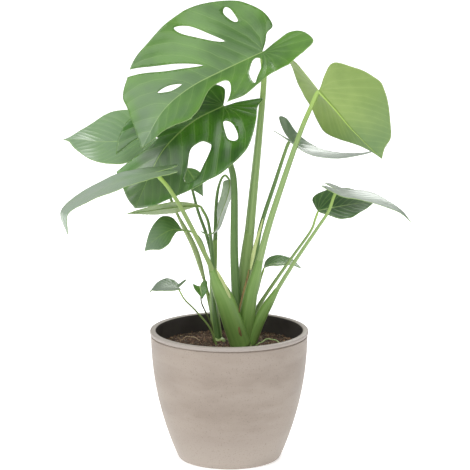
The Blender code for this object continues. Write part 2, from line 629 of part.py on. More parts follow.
def crown_tube(name):
    """The part of a stalk that its crown holds, started below the soil."""
    dense, lengths = stalk_line(name)
    stalk = STALKS[name]
    end = held_length(name)
    foot, neck = (radius * STALK_THICKNESS for radius in stalk["radii"][:2])
    wanted = stations(0.0, end, CROWN_STEP * PLANT_SCALE)
    centres, along = at_lengths(dense, lengths, wanted)
    share = wanted / end
    middle = (foot + neck) / 2
    belly = stalk["belly"] * STALK_THICKNESS if "belly" in stalk else middle
    radii = foot + (neck - foot) * share + (belly - middle) * np.sin(math.pi * share)
    buried = centres[0] - [0.0, 0.0, BURIED]
    return (np.vstack([[buried], centres]), np.concatenate([[foot], radii]), CROWN_SIDES,
            np.vstack([along[:1], along]))


def tube_points(route, radius):
    centres = smooth(plant_points(route), 3)
    return centres, [radius * STALK_THICKNESS] * len(centres), CROWN_SIDES


def hidden(helper):
    helper.hide_render = True
    helper.display_type = "WIRE"
    return helper


def box(name, low, high, finish):
    corners = [(x, y, z) for x in (low[0], high[0]) for y in (low[1], high[1])
               for z in (low[2], high[2])]
    faces = [(0, 1, 3, 2), (4, 6, 7, 5), (0, 4, 5, 1), (2, 3, 7, 6), (0, 2, 6, 4), (1, 5, 7, 3)]
    return add_object(name, corners, faces, finish)


def boolean(target, other, operation):
    cut = target.modifiers.new(other.name, "BOOLEAN")
    cut.operation = operation
    cut.solver = "EXACT"
    cut.object = hidden(other)


def make_crown(name, members, finish, extra=()):
    """The foot that the held parts of several stalks share, grown as one piece."""
    crown = None
    for number, part in enumerate([*(crown_tube(member) for member in members), *extra]):
        piece_name = name if number == 0 else f"{name}_part_{number}"
        piece = add_object(piece_name, *tube(*part), finish)
        if crown is None:
            crown = piece
        else:
            boolean(crown, piece, "UNION")
    reach = 2 * RIM_RADIUS
    level = soil_top() + GAP
    ground = box(name + "_ground", (-reach, -reach, 0), (reach, reach, level), finish)
    boolean(crown, ground, "DIFFERENCE")


def make_soil_strand(name, route, radius, finish):
    """A root or a fibre that lies on the soil."""
    height = radius * math.cos(math.pi / STALK_SIDES) + GAP
    centres = smooth(plant_points([(x, y, 0) for x, y in route]), 3) + [0, 0, height]
    end = radius * STRAND_TAPER
    radii = [end, *[radius] * (len(centres) - 2), end]
    add_object(name, *tube(centres, radii, STALK_SIDES), finish)


def clear_scene():
    for old in list(bpy.data.objects):
        bpy.data.objects.remove(old, do_unlink=True)


def main():
    clear_scene()
    make_pot()
    make_soil()
    leaf_green = material("leaf_green", (0.12, 0.27, 0.05), 0.35)
    stalk_green = material("stalk_green", (0.2, 0.34, 0.1), 0.45)
    sheath_green = material("sheath_green", (0.18, 0.33, 0.08), 0.45)
    dried = tube_points(DRIED_SHEATH, DRIED_RADIUS)
    make_crown("main_crown", MAIN_CROWN, sheath_green, [dried])
    make_crown("side_crown", SIDE_CROWN, sheath_green)
    for name in BLADES:
        make_blade(name, leaf_green)
        make_stalk(name, stalk_green)
    make_soil_strand("root_loop", ROOT_LOOP, ROOT_RADIUS, material("root", (0.35, 0.4, 0.2), 0.6))
    make_soil_strand("soil_fibre", FIBRE, FIBRE_RADIUS, material("fibre", (0.6, 0.55, 0.45), 0.8))


main()
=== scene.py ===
"""Potted monstera: the pot, soil, crowns, stalks and leaves of the frame, shown in full detail.

Metres, +Z up. The origin is the centre of the pot's flat base, and +Y points to the back.
"""

import math

import bpy
import numpy as np
from mathutils.geometry import delaunay_2d_cdt
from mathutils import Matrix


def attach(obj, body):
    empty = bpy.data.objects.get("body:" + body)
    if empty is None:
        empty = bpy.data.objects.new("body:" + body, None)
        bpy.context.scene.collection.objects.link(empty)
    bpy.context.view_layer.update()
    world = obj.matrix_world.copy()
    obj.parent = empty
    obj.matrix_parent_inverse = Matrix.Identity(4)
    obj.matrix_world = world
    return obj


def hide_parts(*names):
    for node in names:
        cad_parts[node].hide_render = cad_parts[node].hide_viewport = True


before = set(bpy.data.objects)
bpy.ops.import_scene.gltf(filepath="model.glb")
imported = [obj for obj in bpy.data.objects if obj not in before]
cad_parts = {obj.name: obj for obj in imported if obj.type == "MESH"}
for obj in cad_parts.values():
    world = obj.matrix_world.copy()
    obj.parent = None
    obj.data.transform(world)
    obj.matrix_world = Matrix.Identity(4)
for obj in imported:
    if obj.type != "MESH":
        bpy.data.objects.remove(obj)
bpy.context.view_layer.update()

MM = 0.001  # plant and pot sizes below are in millimetres
WELD = 0.000001  # metres within which the points of a shell's sheets are joined
SEAM_WELD = 0.000005  # metres within which a turned solid's points on its axis are joined

# Pot
POT_HEIGHT = 157.0
RIM_RADIUS = 95.0
BASE_RADIUS = 61.0
WALL = 7.0
FLOOR = 8.0
BELLY_POWER = 2.1
BASE_ROUND = 4.0
LIP_HEIGHT = 5.0
LIP_PROUD = 1.0
LIP_ROUND = 2.0
POT_SEGMENTS = 160

# Soil
SOIL_DEPTH = 21.0
SOIL_GAP = 0.4
SOIL_TOP = POT_HEIGHT - SOIL_DEPTH
SOIL_RINGS = 46
SOIL_TURNS = 150
SOIL_SIDE_RINGS = 8
SOIL_SHOULDER = 12.0  # depth at which the rings down its side begin, below the uneven top
FLOOR_CLEAR = 2.0

# Plant
BLADE_THICKNESS = 0.7
EDGE_STEPS = 6  # edge points between two points of an outline
BELLY = 0.35  # share of the rib where a blade is widest
LEAST_WIDTH = 0.02  # share of the half width that an edge keeps off the rib
ROW_SHARE = 0.87  # distance between rows of points on a blade, in grid steps
RIB_CLEAR = 0.55  # grid steps that points keep off the rib, and off an edge
EDGE_CLEAR = 0.5

# Half outlines of a plain blade: (share along the rib, share of the half width).
CORDATE = [(-0.05, 0.07), (-0.12, 0.2), (-0.17, 0.38), (-0.16, 0.6), (-0.08, 0.81), (0.06, 0.95),
           (0.22, 1.0), (0.4, 0.94), (0.58, 0.77), (0.74, 0.53), (0.87, 0.28), (0.95, 0.1)]
OVATE = [(0.02, 0.1), (0.06, 0.3), (0.13, 0.6), (0.24, 0.86), (0.38, 1.0), (0.54, 0.95),
         (0.7, 0.75), (0.84, 0.45), (0.94, 0.17)]
FULL = [(0.01, 0.3), (0.04, 0.65), (0.1, 0.88), (0.24, 1.0), (0.4, 1.0), (0.56, 0.92),
        (0.72, 0.72), (0.86, 0.42), (0.95, 0.16)]

# Each blade is set out in millimetres above the soil: the points of its rib from the stalk to the
# tip, and its half widths to the left and right at the base, the belly and the tip, seen from above
# with the tip ahead. Its edges and its holes are shares of the rib and of the half width.
BLADES = {
    "top_leaf": dict(
        rib=[(39, 12, 353), (-8, -12, 334), (-46, -28, 316), (-77, -45, 291), (-101, -60, 250)],
        left=[(34, -50, -10), (30, -62, -16), (15, -34, -11)],
        left_lobe=(30, -8, 27),
        left_edge=[(-0.12, 0.03), (-0.21, 0.08), (-0.25, 0.34), (-0.22, 0.78), (-0.12, 0.88),
                   (0.05, 0.84), (0.18, 0.9), (0.32, 0.98), (0.45, 1.06), (0.64, 1.06), (0.77, 0.64)],
        right=[(3, 40, 50), (-36, 46, 68), (-42, 24, 36)],
        right_edge=[(-0.02, 0.2), (-0.03, 0.4), (-0.07, 0.5), (-0.02, 0.78), (0.08, 1.08),
                    (0.15, 1.16), (0.3, 1.06), (0.42, 1.01), (0.58, 0.98), (0.7, 1.0), (0.78, 0.94),
                    (0.86, 0.86), (0.89, 0.64), (0.94, 0.34)],
        holes=[
            ("right", [(0.17, 1.04), (0.15, 1.0), (0.13, 0.8), (0.15, 0.78), (0.18, 0.92)]),
            ("right", [(0.44, 0.88), (0.35, 0.8), (0.27, 0.6), (0.21, 0.44), (0.28, 0.5),
                       (0.4, 0.72)]),
            ("right", [(0.8, 1.12), (0.65, 0.7), (0.5, 0.4), (0.38, 0.2), (0.49, 0.3), (0.62, 0.52),
                       (0.81, 1.04)]),
            ("right", [(0.7, 0.3), (0.63, 0.25), (0.55, 0.12), (0.63, 0.15)]),
            ("left", [(0.06, 0.1), (0.06, 0.28), (0.17, 0.68), (0.22, 0.84), (0.19, 0.48),
                      (0.11, 0.16)]),
            ("left", [(0.66, 1.1), (0.57, 0.72), (0.45, 0.36), (0.36, 0.25), (0.31, 0.34),
                      (0.34, 0.62), (0.41, 0.94), (0.48, 1.24), (0.58, 1.5)]),
        ]),
    "lower_split_leaf": dict(
        rib=[(-7, 4, 290), (-42, -8, 274), (-72, -18, 248), (-89, -28, 222), (-110, -42, 176)],
        left=[(45, -28, -8), (47, -34, -49), (21, -16, -28)],
        left_edge=[(-0.03, 0.03), (-0.11, 0.1), (-0.22, 0.3), (-0.12, 0.5), (0.04, 0.98),
                   (0.14, 1.16), (0.21, 1.12), (0.29, 1.0), (0.42, 0.92), (0.58, 0.88),
                   (0.81, 0.62), (0.92, 0.32)],
        right=[(-36, 20, 33), (-66, 18, 9), (-40, 10, 8)],
        right_edge=[(-0.07, 0.22), (-0.11, 0.42), (-0.07, 0.64), (0.04, 0.8), (0.14, 0.92),
                    (0.23, 0.98), (0.36, 0.96), (0.61, 0.88), (0.72, 0.86), (0.81, 0.72),
                    (0.93, 0.38)],
        holes=[
            ("left", [(0.12, 0.38), (0.1, 0.5), (0.13, 0.74), (0.16, 0.86), (0.18, 0.78),
                      (0.18, 0.64)]),
            ("left", [(0.3, 0.34), (0.27, 0.46), (0.28, 0.54), (0.38, 0.64), (0.48, 0.76),
                      (0.55, 0.76), (0.56, 0.66), (0.49, 0.52), (0.39, 0.32)]),
            ("right", [(0.72, 1.02), (0.59, 0.76), (0.48, 0.58), (0.44, 0.38), (0.45, 0.26),
                       (0.52, 0.28), (0.63, 0.48), (0.81, 0.94)]),
        ]),
    "left_rear_leaf": dict(
        rib=[(-93, 50, 246), (-120, 46, 242), (-155, 42, 241), (-178, 36, 245), (-198, 28, 246)],
        left=[(1, -40, -13), (-3, -44, -19), (-3, -24, -13)],
        left_edge=[(-0.07, 0.2), (-0.13, 0.6), (-0.06, 0.92), (0.13, 1.12), (0.31, 1.1), (0.53, 1.0),
                   (0.7, 0.92), (0.84, 0.56), (0.93, 0.12)],
        right=[(4, 40, 23), (-6, 40, 28), (-11, 20, 6)],
        right_edge=[(-0.09, 0.15), (-0.11, 0.56), (0.01, 0.95), (0.15, 1.08), (0.31, 1.08),
                    (0.53, 0.98), (0.75, 0.68)]),
    "left_front_leaf": dict(
        rib=[(-85, -78, 225), (-125, -86, 216), (-162, -94, 201), (-189, -100, 183),
             (-185, -102, 157)],
        left=[(4, -45, 2), (4, -50, 1), (15, -27, 3)],
        right=[(3, 45, 0), (-2, 50, 2), (-17, 27, -2)]),
    "narrow_left_leaf": dict(
        rib=[(-34, 22, 167), (-59, 18, 167), (-88, 12, 164), (-122, 6, 160)],
        left=[(0, -24, 9), (1, -28, 11), (1, -16, 8)],
        right=[(0, 24, -9), (-1, 28, -13), (-1, 16, -9)],
        left_edge=OVATE,
        right_edge=OVATE),
    "small_left_leaf": dict(
        rib=[(-55, 0, 142), (-70, -8, 143), (-88, -16, 133), (-100, -22, 121)],
        left=[(3, -20, -8), (4, -24, -14), (3, -14, -9)],
        left_edge=[(0.03, 0.08), (0.15, 0.18), (0.26, 0.46), (0.41, 0.8), (0.66, 0.8)],
        right=[(-3, 20, 11), (-8, 24, 12), (-8, 14, 8)],
        right_edge=[(0.04, 0.16), (0.1, 0.62), (0.19, 0.98), (0.46, 1.02), (0.72, 0.74)]),
    "folded_leaf": dict(
        rib=[(0, 34, 197), (0, 27, 187), (-4, 21, 173), (-11, 17, 155), (-16, 14, 140),
             (-25, 11, 134), (-34, 8, 139)],
        left=[(-10, 1, 2), (-7, 18, 2), (4, 16, -2)],
        left_edge=FULL,
        right=[(6, 5, 0), (6, 20, 0), (8, 14, -4)],
        right_edge=FULL),
    "right_upper_leaf": dict(
        rib=[(104, -34, 314), (123, -42, 294), (140, -50, 274), (158, -56, 256), (177, -60, 238)],
        left=[(-11, 30, -9), (-9, 36, -20), (-6, 16, -11)],
        left_lobe=(-30, 6, 38),
        left_edge=[(-0.19, 0.05), (-0.37, 0.14), (-0.45, 0.48), (-0.28, 0.86), (-0.05, 1.24),
                   (0.12, 1.32), (0.24, 1.4), (0.48, 1.2), (0.71, 0.68)],
        right=[(13, -20, 28), (40, -30, 35), (27, -16, 26)],
        right_edge=[(-0.01, 0.22), (-0.03, 0.58), (-0.03, 1.1), (0.04, 1.42), (0.15, 1.42),
                    (0.28, 1.22), (0.5, 1.1), (0.72, 0.92), (0.88, 0.66), (0.93, 0.3)]),
    "right_middle_leaf": dict(
        rib=[(72, 20, 247), (93, 14, 235), (125, 8, 229), (160, 2, 234), (188, -2, 244)],
        left=[(-7, 14, 24), (6, 36, 2), (2, 20, -1)],
        left_edge=[(-0.05, 0.3), (-0.06, 0.9), (0.03, 1.08), (0.11, 0.8), (0.22, 0.74),
                   (0.42, 0.7), (0.66, 0.6), (0.85, 0.3)],
        right=[(-3, -22, 3), (-3, -27, 2), (-2, -15, 1)]),
    "right_front_leaf": dict(
        rib=[(127, -12, 193), (145, -16, 186), (178, -22, 179), (201, -26, 170), (214, -28, 157)],
        left=[(5, 26, -1), (7, 32, 3), (5, 18, 0)],
        right=[(-5, -26, 1), (-5, -32, 4), (-3, -18, 0)]),
    "right_rear_leaf": dict(
        rib=[(106, 26, 160), (126, 22, 165), (150, 18, 170), (173, 14, 173)],
        left=[(-2, 22, 15), (3, 24, 19), (5, 14, 10)],
        left_edge=[(-0.04, 0.34), (-0.07, 0.76), (-0.01, 1.0), (0.14, 1.08), (0.37, 0.98),
                   (0.62, 0.9), (0.84, 0.5)],
        right=[(4, -20, -6), (4, -22, -9), (2, -12, -5)],
        right_edge=[(0.04, 0.28), (0.14, 0.6), (0.29, 1.0), (0.44, 1.16), (0.62, 1.2),
                    (0.83, 0.8)]),
    "small_right_leaf": dict(
        rib=[(42, 50, 86), (52, 48, 90), (64, 46, 91), (76, 44, 91), (87, 42, 86)],
        left=[(0, 16, 6), (1, 18, 7), (3, 12, 5)],
        right=[(0, -14, 2), (0, -16, 1), (0, -10, 1)],
        left_edge=FULL,
        right_edge=FULL),
    "young_left_leaf": dict(
        rib=[(-60, -30, 78), (-70, -32, 79), (-82, -34, 79), (-91, -36, 77), (-94, -37, 73)],
        left=[(0, -13, 0), (0, -16, -1), (0, -10, -1)],
        left_edge=[(-0.06, 0.2), (-0.08, 0.5), (0.02, 0.85), (0.15, 1.0), (0.35, 1.05),
                   (0.58, 0.95), (0.72, 0.75), (0.81, 0.45), (0.87, 0.14), (0.94, 0.08)],
        right=[(0, 15, 6), (0, 20, 6), (0, 13, 4)],
        right_lobe=(9, 2, 7),
        right_edge=[(-0.12, 0.06), (-0.28, 0.16), (-0.31, 0.34), (-0.19, 0.44), (-0.03, 0.5),
                    (0.06, 0.76), (0.15, 0.95), (0.35, 1.05), (0.58, 1.0), (0.72, 0.82),
                    (0.81, 0.5), (0.87, 0.14), (0.94, 0.08)]),
    "bud_leaf": dict(
        rib=[(-35, -16, 77), (-34, -18, 72), (-33, -20, 67), (-32, -20, 62)],
        left=[(8, 1, 1), (9, -1, 0), (5, 0, 0)],
        left_lobe=(3, 0, 8),
        left_edge=[(-0.26, 0.04), (-0.48, 0.3), (-0.42, 0.7), (-0.16, 1.0), (0.15, 1.0),
                   (0.45, 0.8), (0.72, 0.5), (0.9, 0.2)],
        right=[(-8, -1, 2), (-9, -4, 3), (-5, -2, 1)],
        right_lobe=(-3, 0, 7),
        right_edge=[(-0.02, 0.3), (-0.1, 0.7), (-0.06, 1.0), (0.2, 0.92), (0.55, 0.6),
                    (0.85, 0.24)]),
    "hidden_rear_leaf": dict(
        rib=[(-52, 52, 208), (-45, 48, 199), (-38, 43, 187), (-31, 38, 175)],
        left=[(8, 4, 5), (9, 4, 5), (5, 2, 3)],
        left_edge=OVATE,
        right=[(-8, -3, -5), (-9, -4, -6), (-5, -2, -3)],
        right_edge=OVATE),
}

# Each stalk runs from its foot on the soil to its blade, through these points. The crown holds it
# up to the height "held"; its radii are at the foot, where it leaves the crown, and at the blade.
STALKS = {
    "top_leaf": dict(
        path=[(13, 12, 0), (15, 20, 35), (21, 27, 100), (28, 28, 176), (35, 26, 250), (41, 20, 322)],
        held=62, radii=(7.5, 7.0, 3.2)),
    "lower_split_leaf": dict(
        path=[(12, 9, 0), (9, 9, 45), (6, 14, 110), (6, 19, 187), (2, 21, 216), (-6, 20, 236),
              (-12, 17, 255), (-12, 12, 271)],
        held=62, radii=(7.0, 5.4, 3.0)),
    "left_front_leaf": dict(
        path=[(15, 1, 0), (5, -5, 28), (-5, -13, 59), (-16, -23, 86), (-25, -31, 112),
              (-53, -54, 174), (-69, -68, 204), (-80, -75, 219)],
        held=92, radii=(8.5, 3.0, 2.3), belly=10.4),
    "right_upper_leaf": dict(
        path=[(19, 9, 0), (21, 4, 31), (25, 0, 63), (32, -4, 90), (44, -9, 140), (60, -14, 193),
              (83, -23, 263), (97, -29, 298)],
        held=94, radii=(7.0, 4.7, 2.6), belly=7.8),
    "right_middle_leaf": dict(
        path=[(20, 10, 0), (26, 10, 50), (31, 17, 100), (38, 26, 142), (55, 28, 196), (67, 25, 234)],
        held=94, radii=(5.0, 3.2, 2.1)),
    "right_front_leaf": dict(
        path=[(23, 8, 0), (37, 5, 33), (51, 1, 59), (76, -4, 102), (103, -8, 144), (117, -10, 166),
              (123, -11, 183)],
        held=60, radii=(6.0, 3.0, 1.8)),
    "right_rear_leaf": dict(
        path=[(21, 13, 0), (32, 20, 36), (44, 24, 58), (73, 27, 100), (97, 29, 134), (103, 28, 150)],
        held=56, radii=(5.0, 2.4, 1.5)),
    "small_right_leaf": dict(
        path=[(20, 14, 0), (26, 29, 34), (34, 44, 58), (38, 51, 72)],
        held=46, radii=(4.0, 1.8, 1.3)),
    "left_rear_leaf": dict(
        path=[(-14, 25, 0), (-22, 40, 36), (-32, 52, 76), (-43, 54, 111), (-64, 57, 153),
              (-82, 56, 200), (-92, 53, 234)],
        held=72, radii=(3.4, 1.8, 1.8)),
    "narrow_left_leaf": dict(
        path=[(-13, 23, 0), (-17, 28, 30), (-20, 32, 70), (-21, 34, 110), (-25, 32, 145)],
        held=72, radii=(4.0, 2.4, 1.8)),
    "small_left_leaf": dict(
        path=[(-12, 21, 0), (-17, 23, 40), (-21, 18, 72), (-26, 11, 104), (-34, 8, 129),
              (-45, 5, 139)],
        held=72, radii=(3.4, 1.4, 1.1)),
    "folded_leaf": dict(
        path=[(-13, 26, 0), (-18, 37, 38), (-19, 43, 80), (-17, 44, 118), (-16, 46, 158),
              (-14, 46, 180), (-10, 44, 195), (-5, 40, 201)],
        held=72, radii=(5.0, 3.5, 1.3)),
    "hidden_rear_leaf": dict(
        path=[(-15, 27, 0), (-18, 45, 45), (-20, 55, 90), (-27, 60, 122), (-38, 60, 154),
              (-46, 58, 186)],
        held=72, radii=(5.0, 2.6, 1.5)),
    "young_left_leaf": dict(
        path=[(-14, 2, 0), (-23, -4, 23), (-39, -14, 46), (-52, -24, 62), (-57, -28, 71)],
        radii=(1.4, 1.3, 0.9)),
    "bud_leaf": dict(
        path=[(-18, 6, 0), (-21, 1, 25), (-28, -6, 43), (-33, -10, 56), (-34, -11, 68)],
        radii=(1.2, 1.1, 0.8)),
}

# How each leaf is veined and finished: its upper and lower faces, the distance between its side veins
# and their lean in degrees, the depth of the quilting between them and of the waves along the margin
# in millimetres, and how far it cups (+) or droops (-) across each half. Its painted sheen, a
# greyer colour that stands in for reflection, sets in between two shares of the rib, and its seed
# shifts its waves.
LOOKS = {
    "top_leaf": dict(top="leaf_glossy", under="leaf_under", spacing=19.0, lean=58, quilt=0.45,
                     wave=3.2, cup=-2.5, painted_sheen=(0.3, 0.95), seed=1),
    "lower_split_leaf": dict(top="leaf_deep", under="leaf_under", spacing=20.0, lean=58, quilt=0.55,
                             wave=3.0, cup=-4.0, painted_sheen=(0.4, 0.9), seed=2),
    "left_rear_leaf": dict(top="leaf_mid", under="leaf_under", spacing=11.0, lean=50, quilt=0.25,
                           wave=1.0, cup=-1.0, painted_sheen=(0.1, 0.9), seed=3),
    "left_front_leaf": dict(top="leaf_grey", under="leaf_under", spacing=10.0, lean=52, quilt=0.25,
                            wave=1.2, cup=-1.5, painted_sheen=(0.0, 0.3), seed=4),
    "narrow_left_leaf": dict(top="leaf_mid", under="leaf_pale", spacing=7.0, lean=45, quilt=0.3,
                             wave=0.6, cup=0.5, painted_sheen=(0.0, 0.8), seed=5),
    "small_left_leaf": dict(top="leaf_mid", under="leaf_under", spacing=7.0, lean=50, quilt=0.15,
                            wave=0.5, cup=-0.6, painted_sheen=(0.2, 0.8), seed=6),
    "folded_leaf": dict(top="leaf_deep", under="leaf_sheen_grey", spacing=8.0, lean=45, quilt=0.3,
                        wave=0.6, cup=0.5, painted_sheen=(0.0, 0.5), seed=7),
    "right_upper_leaf": dict(top="leaf_grey", under="leaf_pale", spacing=11.0, lean=54, quilt=0.25,
                             wave=1.0, cup=1.5, painted_sheen=(0.2, 0.9), seed=8),
    "right_middle_leaf": dict(top="leaf_silver", under="leaf_sheen_grey", spacing=9.0, lean=50, quilt=0.2,
                              wave=0.8, cup=-0.8, painted_sheen=(0.0, 0.4), seed=9),
    "right_front_leaf": dict(top="leaf_silver", under="leaf_under", spacing=9.0, lean=50, quilt=0.2,
                             wave=0.8, cup=-0.8, painted_sheen=(0.0, 0.4), seed=10),
    "right_rear_leaf": dict(top="leaf_deep", under="leaf_under", spacing=9.0, lean=50, quilt=0.12,
                            wave=0.6, cup=-0.5, painted_sheen=(0.3, 0.9), seed=11),
    "small_right_leaf": dict(top="leaf_deep", under="leaf_under", spacing=6.0, lean=45, quilt=0.15,
                             wave=0.4, cup=-0.5, painted_sheen=(0.2, 0.8), seed=12),
    "young_left_leaf": dict(top="leaf_silver", under="leaf_under", spacing=6.0, lean=48, quilt=0.15,
                            wave=0.5, cup=-0.4, painted_sheen=(0.0, 0.5), seed=13),
    "bud_leaf": dict(top="leaf_deep", under="leaf_under", spacing=4.0, lean=40, quilt=0.2,
                     wave=0.2, cup=0.2, painted_sheen=(0.6, 1.0), seed=14),
    "hidden_rear_leaf": dict(top="leaf_mid", under="leaf_sheen_grey", spacing=6.0, lean=45, quilt=0.3,
                             wave=0.4, cup=0.3, painted_sheen=(0.6, 1.0), seed=15),
}
FAN = 16.0  # degrees between the veins that fan out from the foot of a blade
VEIN_BEND = 0.004  # how fast side veins curve towards the tip, per millimetre
VEIN_SWAY = 4.0  # millimetres that side veins wander, at this many wanderings per millimetre
SWAY_SCALE = 0.06
SWAY_RISE = 0.1  # how fast the wandering sets in away from the rib, per millimetre
FINE_VEINS = 5.0  # fine veins to each side vein
WAVE_TURNS = (11, 23)  # of the margin's two waves, in radians along a whole rib
DENT_SIZE = (19, 15)  # millimetres along and across a blade for a radian of its dents
SHEET_STEPS = 60  # grid steps along a blade, within the finest and the coarsest step in millimetres
FINEST, COARSEST = 1.6, 2.6

# The ridge under a rib: how far it runs as a share of the rib, its points, its least and greatest
# radius, and how much of its radius lies under the blade.
RIDGE_REACH = 0.93
RIDGE_POINTS = 26
LEAST_RIDGE = 0.3
THICKEST_RIDGE = 1.4
RIDGE_SINK = 0.75
FOOT_SINK = 3  # how far a stalk's foot reaches into the soil
KNEE_LENGTH = 6  # length of the swollen knee below a blade, in radii of the stalk
KNEE = ([0, 0.25, 0.6, 1], [0.72, 1.02, 1.08, 1.0])  # its thickness, from the blade down
GROOVE_LEAN = 0.004  # how much a groove turns to the plant's middle, per millimetre outwards
DEEP_GROOVE, SHALLOW_GROOVE = 0.22, 0.12

STALK_FINISH = {"lower_split_leaf": "stalk_shaded", "folded_leaf": "stalk_shaded",
                "hidden_rear_leaf": "stalk_shaded", "right_middle_leaf": "stalk_shaded",
                "narrow_left_leaf": "stalk_shaded", "small_left_leaf": "stalk_shaded",
                "left_rear_leaf": "stalk_yellow", "left_front_leaf": "stalk_yellow",
                "young_left_leaf": "stalk_yellow", "bud_leaf": "stalk_brown"}

# Sheaths and dried scraps. A sheath wraps its stalk between two heights, and swell is how far it
# stands off the stalk along the way, in millimetres; a scrap follows a line of its own, with half
# widths along it. Out is where the back faces, and wrap is how far it curls round in degrees.
SHEATHS = {
    "left_front_wing": dict(
        line=[(-16, -26, 101), (-11.5, -24.5, 91), (-6.5, -22.5, 79), (-1.5, -20, 66), (3, -17, 53)],
        widths=[0.2, 1.9, 3.1, 3.2, 0.6], out=(0.35, -1, 0.2), wrap=110, finish="papery_sheath"),
    "right_upper_wing": dict(
        line=[(40, -11, 158), (36.5, -11, 144), (32, -10.5, 128), (28.5, -10, 112), (25.5, -9, 96)],
        widths=[0.2, 1.3, 2.1, 2.4, 0.8], out=(-0.3, -1, 0.1), wrap=120, finish="papery_sheath"),
    "top_sheath": dict(
        stalk="top_leaf", heights=(0, 136), swell=[1.5, 1.9, 1.9, 1.6, 0.9, -0.8],
        out=(-0.8, -0.6, 0), wrap=215, finish="sheath_shaded"),
    "right_upper_sheath": dict(
        stalk="right_upper_leaf", heights=(0, 112), swell=[0.8, 1.0, 1.2, 1.2, 0.7, -0.8],
        out=(0.5, -0.8, 0), wrap=250, finish="sheath_skin"),
    "right_front_sheath": dict(
        stalk="right_front_leaf", heights=(0, 70), swell=[1.2, 2.0, 2.4, 1.8, -0.4],
        out=(0.5, -0.8, 0.3), wrap=240, finish="sheath_skin"),
    "left_front_sheath": dict(
        stalk="left_front_leaf", heights=(0, 100), swell=[3.0, 1.6, 0.8, 2.0, 2.6, -0.3],
        out=(0.2, -1, 0.2), wrap=230, finish="sheath_skin"),
    "dried_edge": dict(
        line=[(23.5, -9, 96), (21.0, -9.5, 84), (17.0, -10.5, 69), (13.6, -11.5, 55), (11.4, -12, 44)],
        widths=[0.2, 0.8, 0.9, 0.8, 0.3], out=(0, -1, 0), wrap=120, finish="dried_sheath"),
    "dried_patch": dict(
        line=[(9.0, -12.5, 36), (10.4, -13.5, 28), (12.6, -13, 20), (15.0, -11, 12)],
        widths=[0.5, 1.7, 2.0, 0.5], out=(0, -1, 0.1), wrap=110, finish="dried_sheath"),
    "left_rear_sheath": dict(
        stalk="left_rear_leaf", heights=(72, 146), swell=[-0.3, 0.8, 1.3, 1.1, 0.8, -0.4],
        out=(-0.3, -1, 0.1), wrap=200, finish="papery_grey"),
    "folded_sheath": dict(
        stalk="folded_leaf", heights=(0, 122), swell=[1.2, 1.3, 0.9, 0.6, 0.8, -0.4],
        out=(-0.8, -0.6, 0), wrap=230, finish="sheath_light"),
}
SIDE_SHEATHS = ["left_rear_sheath", "folded_sheath"]
MAIN_SHEATHS = [name for name in SHEATHS if name not in SIDE_SHEATHS]
SHEATH_TURN = 0.6  # span of the round_it attribute from one margin of a sheath to the other

# Swollen feet that sheaths share: the centre above the soil and the three half sizes.
BULBS = {"main_bulb": ((15, 2, 0), (11.5, 9.5, 7.0)), "side_bulb": ((-13, 24, 0), (8.5, 8.5, 6.0))}
BULB_TURNS, BULB_RINGS = 36, 18
BULB_CREASE = 0.05  # depth of its three creases, as a share of its reach

# Strands on the soil: a route of (x, y, height above the soil) points and a radius.
ROOT_ROUTE = [(30, -4, 0), (38, -6, 6), (48, -2, 10), (58, -5, 8), (66, -10, 0)]
ROOT_RADIUS = 0.9
STRAW_ROUTE = [(-57, 2, 3), (-50, 0, 5), (-42, -2, 4), (-34, -5, 0)]
STRAW_RADIUS = 0.4

# What lies strewn on the soil, with lengths in metres.
CRUMBS = dict(Per_square_metre=190000.0, Smallest=0.0005, Largest=0.0024, Seed=3)
BARK = dict(Per_square_metre=16000.0, Smallest=0.0006, Largest=0.0026, Seed=11)
FIBRES = dict(Per_square_metre=16000.0, Longest=0.011, Radius=0.00016, Seed=5)

# Colours, as display values of 0 to 255
PALE_VEIN = (160, 188, 112)

# A leaf's face: its darker and lighter green, its veins and its painted sheen, a greyer colour that
# stands in for the room's reflection; then how strongly rib, veins and painted sheen show; and vivid
# patches along the margin where it has them.
LEAF_FACES = {
    "leaf_glossy": dict(dark=(62, 104, 32), light=(90, 134, 50), vein=PALE_VEIN, painted_sheen=(94, 122, 86),
                        amounts=(0.55, 0.1, 0.75), roughness=0.36, coat=0.3, vivid=(84, 132, 32)),
    "leaf_deep": dict(dark=(38, 80, 18), light=(76, 128, 32), vein=PALE_VEIN, painted_sheen=(132, 156, 118),
                      amounts=(0.65, 0.14, 0.5), roughness=0.3, coat=0.45, vivid=(62, 116, 28)),
    "leaf_mid": dict(dark=(88, 126, 70), light=(108, 146, 82), vein=PALE_VEIN, painted_sheen=(132, 152, 132),
                     amounts=(0.4, 0.08, 0.8), roughness=0.4, coat=0.2),
    "leaf_grey": dict(dark=(106, 134, 92), light=(124, 150, 108), vein=(150, 174, 130),
                      painted_sheen=(140, 158, 140), amounts=(0.4, 0.1, 0.8), roughness=0.38, coat=0.8),
    "leaf_silver": dict(dark=(86, 112, 78), light=(104, 130, 92), vein=(128, 150, 116),
                        painted_sheen=(118, 136, 118), amounts=(0.4, 0.1, 0.7), roughness=0.38, coat=0.7),
    "leaf_under": dict(dark=(112, 146, 78), light=(130, 162, 90), vein=(158, 184, 114),
                       painted_sheen=(126, 150, 114), amounts=(0.6, 0.14, 0.7), roughness=0.5),
    "leaf_pale": dict(dark=(122, 148, 74), light=(138, 162, 86), vein=(166, 186, 114),
                      painted_sheen=(98, 128, 78), amounts=(0.5, 0.1, 0.9), roughness=0.5),
    # Partly the paler underside, and partly painted sheen: the whitish reflection on leaves seen
    # edge-on.
    "leaf_sheen_grey": dict(dark=(146, 164, 134), light=(164, 180, 150), vein=(180, 196, 164),
                       painted_sheen=(158, 172, 160), amounts=(0.5, 0.1, 0.8), roughness=0.45),
}

